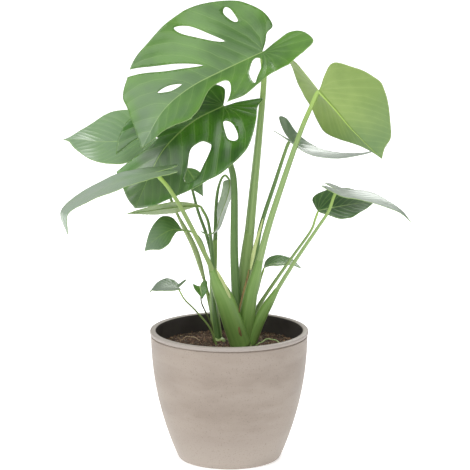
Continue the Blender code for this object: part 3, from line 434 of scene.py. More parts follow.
LEAF_CLOUD_SCALE = 17.0  # of the patches of darker green, and below of the vivid ones, per metre
VIVID_SCALE = 24.0
PORE_SCALE = 1400.0
MARGIN_LINE = (0.3, 1.1)  # millimetres from the margin over which its pale line fades out
VIVID_BAND = (2.0, 18.0)  # and over which the vivid patches fade out

# Skins of stalks and sheaths: the darker and lighter green, the green near the blade and, on a
# sheath, its margins.
STALK_SKINS = {
    "stalk_skin": dict(dark=(110, 138, 78), light=(146, 172, 108), tip=(160, 190, 92)),
    "stalk_yellow": dict(dark=(112, 138, 74), light=(142, 164, 96), tip=(158, 192, 76)),
    "stalk_shaded": dict(dark=(74, 108, 52), light=(106, 138, 76), tip=(128, 158, 84)),
    "stalk_brown": dict(dark=(70, 76, 46), light=(100, 112, 62), tip=(96, 106, 58)),
    "sheath_skin": dict(dark=(92, 132, 58), light=(134, 166, 88), tip=(150, 178, 100),
                        margin=(176, 194, 128)),
    "sheath_light": dict(dark=(116, 150, 78), light=(146, 176, 100), tip=(140, 168, 92),
                         margin=(170, 190, 124)),
    "sheath_shaded": dict(dark=(112, 142, 78), light=(142, 168, 100), tip=(140, 164, 98),
                          margin=(150, 172, 108)),
}

# Papery and dried tissue: its two colours and its roughness.
STRIP_SKINS = {
    "papery_sheath": ((190, 200, 142), (166, 182, 112), 0.6),
    "papery_grey": ((168, 184, 132), (146, 168, 108), 0.6),
    "dried_sheath": ((104, 84, 50), (140, 122, 70), 0.8),
    "root_skin": ((120, 150, 84), (164, 176, 124), 0.6),
    "fibre_straw": ((196, 180, 150), (150, 126, 94), 0.8),
}

# Earth: its two colours, the scale of its specks and its roughness.
EARTHS = {
    "potting_soil": ((48, 38, 31), (80, 64, 53), 500.0, 0.9),
    "soil_crumb": ((54, 40, 32), (124, 98, 78), 900.0, 0.9),
    "soil_bark": ((96, 70, 52), (160, 130, 102), 700.0, 0.8),
}

POT_DARK = (134, 121, 110)
POT_LIGHT = (163, 151, 140)
# Painted bounce light: the glaze grows lighter towards the foot, where the floor throws light up.
POT_BOUNCE_LIGHT = (168, 157, 147)
POT_SPECK = (104, 90, 80)
POT_LIP = (162, 154, 148)
POT_INSIDE_DARK = (58, 53, 52)
POT_INSIDE_LIGHT = (76, 71, 69)
# How far up the pot the painted bounce light reaches.
BOUNCE_LIGHT_REACH = 0.07  # metres up the pot to which the lighter foot fades

# Studio, in metres and degrees
CAMERA_PLACE = (0.0069, -3.0, 0.8772)
CAMERA_TILT = 78.596
CAMERA_LENS = 197.1
ROOM_LIGHT = 0.46
FLOOR_HALF = 20
FLOOR_GLOW = 0.4
SUN_FROM = (-0.2, -0.6, 1.0)
SUN_STRENGTH = 2.0
SUN_SPREAD = 70
# Each soft lamp: where it stands, what it aims at, its width and its watts.
LAMPS = {
    "left_softbox": ((-1.5, -0.6, 1.5), (-0.05, 0.0, 0.35), 0.8, 7.0),
    "rear_softbox": ((0.5, 1.5, 1.6), (0.0, 0.0, 0.35), 1.2, 16.0),
}


# Shapes of the blades


def smooth(points, per_span=6, closed=False):
    """A Catmull-Rom curve through the points."""
    points = np.asarray(points, float)
    if closed:
        padded = np.vstack([points[-1:], points, points[:2]])
    else:
        padded = np.vstack([2 * points[0] - points[1], points, 2 * points[-1] - points[-2]])
    curve = []
    for a, b, c, d in zip(padded, padded[1:], padded[2:], padded[3:]):
        for t in np.arange(per_span) / per_span:
            curve.append(0.5 * (2 * b + (c - a) * t + (2 * a - 5 * b + 4 * c - d) * t * t
                                + (3 * b - a - 3 * c + d) * t ** 3))
    if not closed:
        curve.append(points[-1])
    return np.array(curve)


def lengths_along(curve):
    """Distance of each point of a curve from its start, along the curve."""
    return np.concatenate([[0.0], np.cumsum(np.linalg.norm(np.diff(curve, axis=0), axis=1))])


def unit(vectors):
    return vectors / np.linalg.norm(vectors, axis=-1, keepdims=True)


def ease(share):
    """A share from 0 to 1, with a soft start and a soft end."""
    share = np.clip(share, 0.0, 1.0)
    return share * share * (3 - 2 * share)


def plant_points(points):
    """Points of the plant, given above the soil, in the pot's frame."""
    return np.asarray(points, float) + [0.0, 0.0, SOIL_TOP]


def edge_of(blade, side):
    """One edge of a blade from its foot to its tip, as (along, across) shares."""
    shares = smooth([(0.0, 0.0), *blade.get(side + "_edge", CORDATE), (1.0, 0.0)], EDGE_STEPS)
    shares[1:-1, 1] = np.maximum(shares[1:-1, 1], LEAST_WIDTH)
    return shares


def rib_frame(blade):
    rib = smooth(plant_points(blade["rib"]), 12)
    return rib, lengths_along(rib)


def width_vectors(blade, side, shares):
    """Half width of one side of a blade at each share of its rib."""
    base, belly, tip = np.asarray(blade[side], float)
    shares = np.asarray(shares, float)[:, None]
    to_belly = ease(shares / BELLY)
    to_tip = ease((shares - BELLY) / (1 - BELLY))
    return base + (belly - base) * to_belly + (tip - belly) * to_tip


def blade_surface(blade, side, shares):
    """Where the (along, across) shares of one half of a blade lie."""
    rib, lengths = rib_frame(blade)
    along = np.clip(shares[:, 0], 0, 1) * lengths[-1]
    spine = np.stack([np.interp(along, lengths, rib[:, k]) for k in range(3)], axis=-1)
    lobe = np.asarray(blade.get(side + "_lobe", rib[0] - rib[1]), float)
    behind = np.maximum(-shares[:, :1], 0) * lengths[-1] * unit(lobe)
    return spine + behind + shares[:, 1:2] * width_vectors(blade, side, shares[:, 0])


def flat_size(blade):
    """Length of the rib and half widths, to lay a blade out flat."""
    length = rib_frame(blade)[1][-1]
    return length, {side: np.linalg.norm(blade[side][1]) for side in ("left", "right")}


def flat_outline(blade, side, shares):
    length, widths = flat_size(blade)
    sign = 1 if side == "left" else -1
    return np.stack([shares[:, 0] * length, sign * shares[:, 1] * widths[side]], axis=-1)


def hole_loops(blade):
    return [flat_outline(blade, side, smooth(loop, EDGE_STEPS, closed=True))
            for side, loop in blade.get("holes", [])]


def inside(points, loop):
    """Which points lie inside a closed loop."""
    x, y = points[:, 0], points[:, 1]
    found = np.zeros(len(points), bool)
    for (x1, y1), (x2, y2) in zip(loop, np.roll(loop, -1, axis=0)):
        if y1 != y2:
            crosses = ((y1 > y) != (y2 > y)) & (x < (x2 - x1) * (y - y1) / (y2 - y1) + x1)
            found ^= crosses
    return found


def loop_distance(points, loop):
    """How far each point is from a closed loop."""
    starts, ends = loop, np.roll(loop, -1, axis=0)
    span = ends - starts
    share = ((points[:, None] - starts) * span).sum(-1) / np.maximum((span ** 2).sum(-1), 1e-9)
    nearest = starts + np.clip(share, 0, 1)[..., None] * span
    return np.linalg.norm(points[:, None] - nearest, axis=-1).min(axis=1)


def whole_outline(blade):
    """The flat outline of a blade, and how many of its points are on the left edge."""
    left = flat_outline(blade, "left", edge_of(blade, "left"))
    right = flat_outline(blade, "right", edge_of(blade, "right"))
    return np.vstack([left, right[-2:0:-1]]), len(left)


def blade_layout(blade, grid):
    """Flat triangles of a blade, cut to its outline and holes, with the rib as an edge."""
    outline, left_count = whole_outline(blade)
    holes = hole_loops(blade)
    length = outline[left_count - 1, 0]
    rib = np.array([(x, 0.0) for x in np.arange(grid, length - grid / 2, grid)])
    low, high = outline.min(axis=0), outline.max(axis=0)
    rows = np.arange(low[1], high[1], grid * ROW_SHARE)
    inner = np.array([(x + grid / 2 * (k % 2), y) for k, y in enumerate(rows)
                      for x in np.arange(low[0], high[0], grid)])
    inner = inner[inside(inner, outline) & (np.abs(inner[:, 1]) > grid * RIB_CLEAR)]
    for loop in [outline, *holes]:
        inner = inner[loop_distance(inner, loop) > grid * EDGE_CLEAR]
    for hole in holes:
        inner = inner[~inside(inner, hole)]
    loops = [outline, *holes]
    points = np.vstack([*loops, rib, inner])
    edges = []
    start = 0
    for loop in loops:
        edges += [(start + k, start + (k + 1) % len(loop)) for k in range(len(loop))]
        start += len(loop)
    chain = [0, *range(start, start + len(rib)), left_count - 1]
    edges += list(zip(chain, chain[1:]))
    found = delaunay_2d_cdt([tuple(p) for p in points], edges, [], 0, 1e-4)
    flat = np.array([tuple(p) for p in found[0]])
    faces = np.array([face for face in found[2] if len(face) == 3])
    middles = flat[faces].mean(axis=1)
    keep = inside(middles, outline)
    for hole in holes:
        keep &= ~inside(middles, hole)
    return flat, faces[keep]


def bent(blade, flat):
    """The flat points of a blade, bent to where they grow."""
    length, widths = flat_size(blade)
    placed = np.zeros((len(flat), 3))
    on_left = flat[:, 1] >= 0
    for side, sign, mine in (("left", 1, on_left), ("right", -1, ~on_left)):
        shares = np.stack([flat[:, 0] / length, sign * flat[:, 1] / widths[side]], axis=-1)
        placed[mine] = blade_surface(blade, side, shares)[mine]
    return placed


def leaf_sheet(name):
    """A blade without thickness: its points, triangles and flat points, and its length."""
    blade, look = BLADES[name], LOOKS[name]
    length, widths = flat_size(blade)
    flat, faces = blade_layout(blade, max(FINEST, min(COARSEST, length / SHEET_STEPS)))
    used = np.unique(faces)
    number = -np.ones(len(flat), int)
    number[used] = np.arange(len(used))
    flat, faces = flat[used], number[faces]
    points = bent(blade, flat)
    normals = sheet_normals(points, faces)
    width = np.where(flat[:, 1] > 0, widths["left"], widths["right"])
    across = np.abs(flat[:, 1]) / width
    along = flat[:, 0] / length
    turn = look["seed"] * 1.7
    slow, fast = WAVE_TURNS
    side = np.sign(flat[:, 1])
    waves = np.sin(along * slow + turn) + 0.6 * np.sin(along * fast + side + 2 * turn)
    dents = np.sin(flat[:, 0] / DENT_SIZE[0] + turn) * np.sin(flat[:, 1] / DENT_SIZE[1] + turn)
    shift = 4 * look["cup"] * across * (1 - across) + 0.5 * look["wave"] * waves * across ** 2
    shift += 0.5 * look["wave"] * dents * ease(across * 2)
    points = points + normals * shift[:, None]
    return points, faces, flat, length


def sheet_normals(points, faces):
    corners = points[faces]
    face_normals = np.cross(corners[:, 1] - corners[:, 0], corners[:, 2] - corners[:, 0])
    normals = np.zeros_like(points)
    for corner in range(3):
        np.add.at(normals, faces[:, corner], face_normals)
    return unit(normals)


# Node trees


class Wiring:
    """Adds nodes to a shader or geometry tree and joins them up."""

    def __init__(self, tree):
        self.tree = tree

    def feed(self, socket, value):
        if isinstance(value, bpy.types.NodeSocket):
            self.tree.links.new(value, socket)
        else:
            socket.default_value = value

    def node(self, kind, values=(), **settings):
        made = self.tree.nodes.new(kind)
        for setting, value in settings.items():
            setattr(made, setting, value)
        for socket, value in dict(values).items():
            self.feed(made.inputs[socket], value)
        return made

    def math(self, operation, *values):
        return self.node("ShaderNodeMath", enumerate(values), operation=operation).outputs[0]

    def clamped(self, operation, *values):
        return self.node("ShaderNodeMath", enumerate(values), operation=operation,
                         use_clamp=True).outputs[0]

    def falloff(self, value, start, end):
        """1 where value is under start, and 0 where it is over end."""
        values = {"Value": value, "From Min": start, "From Max": end, "To Min": 1.0, "To Max": 0.0}
        return self.node("ShaderNodeMapRange", values, interpolation_type="SMOOTHSTEP").outputs[0]

    def rise(self, value, start, end):
        values = {"Value": value, "From Min": start, "From Max": end}
        return self.node("ShaderNodeMapRange", values, interpolation_type="SMOOTHSTEP").outputs[0]

    def mix(self, factor, first, second):
        return self.node("ShaderNodeMix", {0: factor, 6: first, 7: second},
                         data_type="RGBA").outputs[2]

    def noise(self, vector, scale, detail=2.0, roughness=0.5):
        values = {"Vector": vector, "Scale": scale, "Detail": detail, "Roughness": roughness}
        return self.node("ShaderNodeTexNoise", values).outputs[0]

    def attribute(self, name, kind="FLOAT_VECTOR"):
        return self.node("GeometryNodeInputNamedAttribute", {"Name": name}, data_type=kind).outputs[0]


def new_group(name, kind, inputs, outputs):
    """A node group with named sockets; inputs are (name, type, value or None)."""
    tree = bpy.data.node_groups.new(name, kind)
    for label, socket_type, value in inputs:
        socket = tree.interface.new_socket(label, in_out="INPUT",
                                           socket_type="NodeSocket" + socket_type)
        if value is not None:
            socket.default_value = value
    for label, socket_type in outputs:
        tree.interface.new_socket(label, in_out="OUTPUT", socket_type="NodeSocket" + socket_type)
    wiring = Wiring(tree)
    given = wiring.node("NodeGroupInput").outputs
    result = wiring.node("NodeGroupOutput").inputs
    return tree, wiring, given, result


def nearest_line(wiring, phase, spacing):
    """Distance to the nearest whole number of phase, times the spacing."""
    away = wiring.math("SUBTRACT", phase, wiring.math("ROUND", phase))
    return wiring.math("MULTIPLY", wiring.math("ABSOLUTE", away), spacing)


def make_vein_group(kind):
    """Where the veins of a blade run, from flat millimetres along and across its rib.

    Side veins leave the rib at one lean and curve to the tip; behind the foot they fan out from it.
    """
    inputs = [("Along", "Float", 0.0), ("Across", "Float", 0.0), ("Length", "Float", 100.0),
              ("Spacing", "Float", 10.0), ("Lean", "Float", 1.0), ("Vein width", "Float", 0.8),
              ("Rib width", "Float", 1.4)]
    outputs = [("Rib", "Float"), ("Vein", "Float"), ("Fine", "Float"), ("Quilt", "Float")]
    tree, w, given, result = new_group("leaf_veins", kind, inputs, outputs)
    flat = w.node("ShaderNodeCombineXYZ", {0: given["Along"], 1: given["Across"]}).outputs[0]
    sway = w.math("MULTIPLY_ADD", w.noise(flat, SWAY_SCALE), VEIN_SWAY, -VEIN_SWAY / 2)
    away = w.math("ABSOLUTE", given["Across"])
    forward = w.math("MULTIPLY", w.math("MULTIPLY", away, away), -VEIN_BEND)
    swayed = w.math("MULTIPLY", sway, w.clamped("MULTIPLY", away, SWAY_RISE))
    along = w.math("ADD", w.math("ADD", given["Along"], forward), swayed)
    sine, cosine = w.math("SINE", given["Lean"]), w.math("COSINE", given["Lean"])
    station = w.math("SUBTRACT", along, w.math("MULTIPLY", away, w.math("DIVIDE", cosine, sine)))
    apart = w.math("MULTIPLY", given["Spacing"], sine)
    side_phase = w.math("DIVIDE", station, given["Spacing"])
    reach = w.math("SQRT", w.math("ADD", w.math("MULTIPLY", along, along),
                                  w.math("MULTIPLY", away, away)))
    angle = w.math("SUBTRACT", w.math("ARCTAN2", away, along), given["Lean"])
    fan_phase = w.math("DIVIDE", angle, math.radians(FAN))
    fan_apart = w.math("MULTIPLY", reach, math.radians(FAN))
    in_fan = w.math("LESS_THAN", station, 0.0)

    def either(side, fan):
        return w.math("ADD", w.math("MULTIPLY", side, w.math("SUBTRACT", 1.0, in_fan)),
                      w.math("MULTIPLY", fan, in_fan))

    distance = either(nearest_line(w, side_phase, apart), nearest_line(w, fan_phase, fan_apart))
    gap = either(apart, fan_apart)
    taper = w.math("SUBTRACT", 1.15, w.math("DIVIDE", given["Along"], given["Length"]))
    rib_width = w.math("MULTIPLY", given["Rib width"], w.clamped("MULTIPLY", taper, 1.0))
    fine_phase = either(w.math("MULTIPLY", side_phase, FINE_VEINS),
                        w.math("MULTIPLY", fan_phase, FINE_VEINS))
    fine = nearest_line(w, fine_phase, 2.0)
    w.feed(result["Rib"], w.falloff(away, w.math("MULTIPLY", rib_width, 0.5), rib_width))
    w.feed(result["Vein"], w.falloff(distance, w.math("MULTIPLY", given["Vein width"], 0.3),
                                     given["Vein width"]))
    w.feed(result["Fine"], w.falloff(fine, 0.1, 0.5))
    w.feed(result["Quilt"], w.rise(w.math("DIVIDE", distance, gap), 0.0, 0.42))
    return tree


def shell(w, sheet, thickness):
    """A closed solid from a sheet, and which of its faces are the top."""
    raised = w.node("GeometryNodeExtrudeMesh", {"Mesh": sheet, "Offset Scale": thickness,
                                                "Individual": False}, mode="FACES")
    flipped = w.node("GeometryNodeFlipFaces", {"Mesh": sheet}).outputs[0]
    joined = w.node("GeometryNodeJoinGeometry")
    w.feed(joined.inputs[0], flipped)
    w.feed(joined.inputs[0], raised.outputs["Mesh"])
    closed = w.node("GeometryNodeMergeByDistance", {"Geometry": joined.outputs[0], "Distance": WELD})
    return closed.outputs[0], raised.outputs["Top"]


def painted(w, geometry, finish, selection=None):
    values = {"Geometry": geometry, "Material": finish}
    if selection is not None:
        values["Selection"] = selection
    return w.node("GeometryNodeSetMaterial", values).outputs[0]


def finished(w, geometry):
    return w.node("GeometryNodeRealizeInstances", {"Geometry": geometry}).outputs[0]


def make_leaf_tree(veins):
    """Sheet of a blade to a thin closed leaf, quilted between its veins."""
    inputs = [("Sheet", "Geometry", None), ("Thickness", "Float", 0.001),
              ("Quilt depth", "Float", 0.0005), ("Vein spacing", "Float", 10.0),
              ("Vein lean", "Float", 1.0), ("Upper face", "Material", None),
              ("Lower face", "Material", None)]
    tree, w, given, result = new_group("leaf_blade", "GeometryNodeTree", inputs,
                                       [("Leaf", "Geometry")])
    flat = w.node("ShaderNodeSeparateXYZ", {0: w.attribute("flat")}).outputs
    pattern = w.node("GeometryNodeGroup", node_tree=veins)
    for socket, value in (("Along", flat[0]), ("Across", flat[1]), ("Length", flat[2]),
                          ("Spacing", given["Vein spacing"]), ("Lean", given["Vein lean"])):
        w.feed(pattern.inputs[socket], value)
    depth = w.math("MULTIPLY", pattern.outputs["Quilt"], given["Quilt depth"])
    depth = w.math("MULTIPLY", depth, w.clamped("MULTIPLY", w.math("ABSOLUTE", flat[1]), 0.12))
    normal = w.node("GeometryNodeInputNormal").outputs[0]
    quilted = w.node("GeometryNodeSetPosition",
                     {"Geometry": given["Sheet"], "Offset": scaled(w, normal, depth)}).outputs[0]
    solid, top = shell(w, quilted, given["Thickness"])
    painted_leaf = painted(w, painted(w, solid, given["Lower face"]), given["Upper face"], top)
    w.feed(result["Leaf"], finished(w, smoothed(w, painted_leaf)))
    return tree


def scaled(w, vector, factor):
    return w.node("ShaderNodeVectorMath", {0: vector, "Scale": factor}, operation="SCALE").outputs[0]


def smoothed(w, geometry):
    return w.node("GeometryNodeSetShadeSmooth", {"Geometry": geometry}).outputs[0]


def facing_line(w, path):
    """A curve from a path of edges, turned the way that the path's points face."""
    line = w.node("GeometryNodeMeshToCurve", {"Mesh": path}).outputs[0]
    return w.node("GeometryNodeSetCurveNormal", {"Curve": line, "Normal": w.attribute("facing")},
                  mode="FREE").outputs[0]


def with_turn(w, profile, turn):
    """A profile that carries how far round it each of its points is."""
    return w.node("GeometryNodeStoreNamedAttribute",
                  {"Geometry": profile, "Name": "round_it", "Value": turn},
                  data_type="FLOAT", domain="POINT").outputs[0]


def swept(w, line, profile, caps=False):
    """A profile along a line, at the radius that the line's points carry."""
    values = {"Curve": line, "Profile Curve": profile, "Scale": w.attribute("radius", "FLOAT"),
              "Fill Caps": caps}
    return w.node("GeometryNodeCurveToMesh", values).outputs[0]


def make_stalk_tree():
    """Path of a stalk to a stalk, with a shallow groove along its upper side."""
    inputs = [("Path", "Geometry", None), ("Sides", "Int", 24), ("Groove", "Float", 0.15),
              ("Groove width", "Float", 0.5), ("Finish", "Material", None)]
    tree, w, given, result = new_group("stalk_sweep", "GeometryNodeTree", inputs,
                                       [("Stalk", "Geometry")])
    ring = w.node("GeometryNodeCurvePrimitiveCircle",
                  {"Resolution": given["Sides"], "Radius": 1.0}).outputs[0]
    place = w.node("GeometryNodeInputPosition").outputs[0]
    parts = w.node("ShaderNodeSeparateXYZ", {0: place}).outputs
    turn = w.math("DIVIDE", w.math("ARCTAN2", parts[1], parts[0]), given["Groove width"])
    dip = w.math("EXPONENT", w.math("MULTIPLY", w.math("MULTIPLY", turn, turn), -1.0))
    depth = w.math("SUBTRACT", 1.0, w.math("MULTIPLY", dip, given["Groove"]))
    ring = w.node("GeometryNodeSetPosition",
                  {"Geometry": ring, "Position": scaled(w, place, depth)}).outputs[0]
    ring = with_turn(w, ring, w.node("GeometryNodeSplineParameter").outputs[0])
    stalk = smoothed(w, swept(w, facing_line(w, given["Path"]), ring, caps=True))
    w.feed(result["Stalk"], finished(w, painted(w, stalk, given["Finish"])))
    return tree


def make_sheath_tree():
    """Path of a sheath to a thin leafy strip, curved across like a gutter."""
    inputs = [("Path", "Geometry", None), ("Wrap", "Float", 2.0), ("Thickness", "Float", 0.0005),
              ("Points across", "Int", 13), ("Finish", "Material", None)]
    tree, w, given, result = new_group("sheath_sweep", "GeometryNodeTree", inputs,
                                       [("Sheath", "Geometry")])
    arc = w.node("GeometryNodeCurveArc", {
        "Resolution": given["Points across"], "Radius": 1.0,
        "Start Angle": w.math("MULTIPLY", given["Wrap"], -0.5), "Sweep Angle": given["Wrap"]}).outputs[0]
    share = w.node("GeometryNodeSplineParameter").outputs[0]
    arc = with_turn(w, arc, w.math("MULTIPLY", share, SHEATH_TURN))
    solid, _ = shell(w, swept(w, facing_line(w, given["Path"]), arc), given["Thickness"])
    w.feed(result["Sheath"], finished(w, painted(w, smoothed(w, solid), given["Finish"])))
    return tree


def make_turned_tree():
    """A profile of (radius, height) points to a turned solid about Z."""
    inputs = [("Profile", "Geometry", None), ("Segments", "Int", POT_SEGMENTS),
              ("Finish", "Material", None)]
    tree, w, given, result = new_group("turned", "GeometryNodeTree", inputs, [("Solid", "Geometry")])
    line = w.node("GeometryNodeMeshToCurve", {"Mesh": given["Profile"]}).outputs[0]
    line = w.node("GeometryNodeTransform",
                  {"Geometry": line, "Translation": (-1.0, 0.0, 0.0)}).outputs[0]
    circle = w.node("GeometryNodeCurvePrimitiveCircle",
                    {"Resolution": given["Segments"], "Radius": 1.0}).outputs[0]
    solid = w.node("GeometryNodeCurveToMesh", {"Curve": circle, "Profile Curve": line}).outputs[0]
    solid = w.node("GeometryNodeMergeByDistance", {"Geometry": solid, "Distance": SEAM_WELD}).outputs[0]
    w.feed(result["Solid"], finished(w, painted(w, smoothed(w, solid), given["Finish"])))
    return tree


def random_vector(w, low, high, seed):
    return w.node("FunctionNodeRandomValue", {0: low, 1: high, "Seed": seed},
                  data_type="FLOAT_VECTOR").outputs[0]


def random_number(w, low, high, seed):
    return w.node("FunctionNodeRandomValue", {2: low, 3: high, "Seed": seed},
                  data_type="FLOAT").outputs[1]


def strewn(w, given, thing, turn, scale):
    """Copies of a thing on the ground, at these turns and scales."""
    spots = w.node("GeometryNodeDistributePointsOnFaces",
                   {"Mesh": given["Ground"], "Density": given["Per square metre"],
                    "Seed": given["Seed"]}, distribute_method="RANDOM").outputs["Points"]
    return w.node("GeometryNodeInstanceOnPoints",
                  {"Points": spots, "Instance": thing, "Rotation": turn, "Scale": scale}).outputs[0]


def make_scatter_tree():
    """Crumbs lying on a surface, at random turns and sizes."""
    inputs = [("Ground", "Geometry", None), ("Per square metre", "Float", 100000.0),
              ("Smallest", "Float", 0.0005), ("Largest", "Float", 0.002), ("Few large", "Float", 2.5),
              ("Seed", "Int", 1), ("Finish", "Material", None)]
    tree, w, given, result = new_group("soil_crumbs", "GeometryNodeTree", inputs,
                                       [("Crumbs", "Geometry")])
    crumb = w.node("GeometryNodeMeshIcoSphere", {"Radius": 1.0, "Subdivisions": 1}).outputs[0]
    turn = random_vector(w, (0.0, 0.0, 0.0), (6.3, 6.3, 6.3), 7)
    share = w.math("POWER", random_number(w, 0.0, 1.0, 8), given["Few large"])
    size = w.math("MULTIPLY_ADD", share, w.math("SUBTRACT", given["Largest"], given["Smallest"]),
                  given["Smallest"])
    stretch = random_vector(w, (0.6, 0.5, 0.4), (1.5, 1.1, 0.9), 9)
    crumbs = strewn(w, given, crumb, turn, scaled(w, stretch, size))
    w.feed(result["Crumbs"], painted(w, finished(w, crumbs), given["Finish"]))
    return tree


def make_fibre_tree():
    """Short curled fibres lying on a surface."""
    inputs = [("Ground", "Geometry", None), ("Per square metre", "Float", 4000.0),
              ("Longest", "Float", 0.02), ("Radius", "Float", 0.0002), ("Seed", "Int", 1),
              ("Finish", "Material", None)]
    tree, w, given, result = new_group("soil_fibres", "GeometryNodeTree", inputs,
                                       [("Fibres", "Geometry")])
    strand = w.node("GeometryNodeCurvePrimitiveBezierSegment",
                    {"Resolution": 7, "Start": (-0.5, 0.0, -0.04), "Start Handle": (-0.2, 0.3, 0.12),
                     "End Handle": (0.15, -0.35, 0.08), "End": (0.5, 0.05, 0.02)}).outputs[0]
    turn = random_vector(w, (-0.35, -0.35, 0.0), (0.35, 0.35, 6.3), 4)
    scale = w.math("MULTIPLY", random_number(w, 0.25, 1.0, 5), given["Longest"])
    lines = finished(w, strewn(w, given, strand, turn, scale))
    ring = w.node("GeometryNodeCurvePrimitiveCircle",
                  {"Resolution": 4, "Radius": given["Radius"]}).outputs[0]
    fibres = w.node("GeometryNodeCurveToMesh",
                    {"Curve": lines, "Profile Curve": ring, "Fill Caps": True}).outputs[0]
    w.feed(result["Fibres"], painted(w, finished(w, fibres), given["Finish"]))
    return tree


# Materials


def tone(display):
    """A colour from display values of 0 to 255."""
    shares = np.array(display) / 255
    linear = np.where(shares <= 0.04045, shares / 12.92, ((shares + 0.055) / 1.055) ** 2.4)
    return (*[float(v) for v in linear], 1.0)


def new_material(name, roughness, **uniform):
    """A Principled material, with its uniform values set on the shader by name."""
    made = bpy.data.materials.new(name)
    made.use_nodes = True
    shader = made.node_tree.nodes["Principled BSDF"]
    shader.inputs["Roughness"].default_value = roughness
    for label, value in uniform.items():
        shader.inputs[label.replace("_", " ")].default_value = value
    return made, Wiring(made.node_tree), shader.inputs


def bumped(w, inputs, height, strength, distance):
    bump = w.node("ShaderNodeBump", {"Height": height, "Strength": strength, "Distance": distance})
    w.feed(inputs["Normal"], bump.outputs[0])


def read(w, name, output="Vector"):
    return w.node("ShaderNodeAttribute", attribute_name=name).outputs[output]


def object_place(w):
    return w.node("ShaderNodeTexCoord").outputs["Object"]


def make_speckle_group():
    """Cloudy glaze and fine specks, as masks from 0 to 1."""
    inputs = [("Place", "Vector", None), ("Cloud scale", "Float", 18.0), ("Speck scale", "Float", 900.0)]
    outputs = [("Cloud", "Float"), ("Speck", "Float"), ("Grain", "Float")]
    tree, w, given, result = new_group("speckle", "ShaderNodeTree", inputs, outputs)
    w.feed(result["Cloud"], w.rise(w.noise(given["Place"], given["Cloud scale"], 4.0, 0.6), 0.3, 0.7))
    specks = w.noise(given["Place"], given["Speck scale"], 2.0, 0.6)
    w.feed(result["Speck"], w.rise(specks, 0.58, 0.72))
    w.feed(result["Grain"], specks)
    return tree


def make_streak_group():
    """Streaks that run along a stalk, as masks from 0 to 1."""
    inputs = [("Around", "Float", 0.0), ("Along", "Float", 0.0), ("Count", "Float", 9.0)]
    outputs = [("Streak", "Float"), ("Thread", "Float")]
    tree, w, given, result = new_group("fibre_streaks", "ShaderNodeTree", inputs, outputs)
    turn = w.math("MULTIPLY", given["Around"], 2 * math.pi)
    count = given["Count"]
    ring = w.node("ShaderNodeCombineXYZ", {0: w.math("MULTIPLY", w.math("COSINE", turn), count),
                                           1: w.math("MULTIPLY", w.math("SINE", turn), count),
                                           2: w.math("MULTIPLY", given["Along"], 3.0)}).outputs[0]
    w.feed(result["Streak"], w.rise(w.noise(ring, 0.35, 2.0), 0.35, 0.65))
    w.feed(result["Thread"], w.noise(ring, 2.2, 2.0, 0.6))
    return tree


def leaf_finish(name, veins, dark, light, vein, painted_sheen, amounts, roughness, coat=0.0, vivid=None):
    """The face of a leaf; amounts are how strongly rib, veins and painted sheen show."""
    made, w, inputs = new_material(name, roughness, Coat_Weight=coat, Coat_Roughness=0.25)
    rib_shows, veins_show, painted_sheen_shows = amounts
    flat = w.node("ShaderNodeSeparateXYZ", {0: read(w, "flat")}).outputs
    spacing, lean, painted_sheen_here = w.node("ShaderNodeSeparateXYZ", {0: read(w, "veins_and_sheen")}).outputs
    pattern = w.node("ShaderNodeGroup", {"Along": flat[0], "Across": flat[1], "Length": flat[2],
                                         "Spacing": spacing, "Lean": lean}, node_tree=veins).outputs
    place = object_place(w)
    margin = read(w, "margin", "Fac")
    cloud = w.rise(w.noise(place, LEAF_CLOUD_SCALE, 3.0, 0.55), 0.35, 0.65)
    darker = w.math("MULTIPLY_ADD", cloud, 0.8, w.math("MULTIPLY", pattern["Quilt"], 0.25))
    colour = w.mix(darker, tone(light), tone(dark))
    colour = w.mix(w.math("MULTIPLY", pattern["Fine"], 0.16 * veins_show), colour, tone(vein))
    # Painted sheen: a patchy greyer colour that stands in for the room's reflection, rising along the
    # rib.
    grey = w.math("MULTIPLY", w.math("MULTIPLY", painted_sheen_here, painted_sheen_shows),
                  w.math("MULTIPLY_ADD", cloud, 0.5, 0.6))
    colour = w.mix(grey, colour, tone(painted_sheen))
    if vivid:
        patch = w.rise(w.noise(place, VIVID_SCALE, 2.0), 0.42, 0.62)
        patch = w.math("MULTIPLY", w.falloff(margin, *VIVID_BAND), patch)
        colour = w.mix(w.math("MULTIPLY", patch, 0.7), colour, tone(vivid))
    colour = w.mix(w.math("MULTIPLY", pattern["Vein"], veins_show), colour, tone(vein))
    colour = w.mix(w.math("MULTIPLY", pattern["Rib"], rib_shows), colour, tone(vein))
    edge = w.math("MULTIPLY", w.falloff(margin, *MARGIN_LINE), 0.15 if vivid else 0.4)
    w.feed(inputs["Base Color"], w.mix(edge, colour, tone(vein)))
    w.feed(inputs["Roughness"], w.math("MULTIPLY_ADD", cloud, 0.12, roughness - 0.06))
    pores = w.noise(place, PORE_SCALE, 2.0)
    fine_relief = w.math("ADD", w.math("MULTIPLY", pattern["Fine"], 0.25),
                         w.math("MULTIPLY", pores, 0.25))
    relief = w.math("ADD", w.math("MULTIPLY", pattern["Vein"], -0.9), fine_relief)
    bumped(w, inputs, relief, 0.35, 0.0004)
    return made


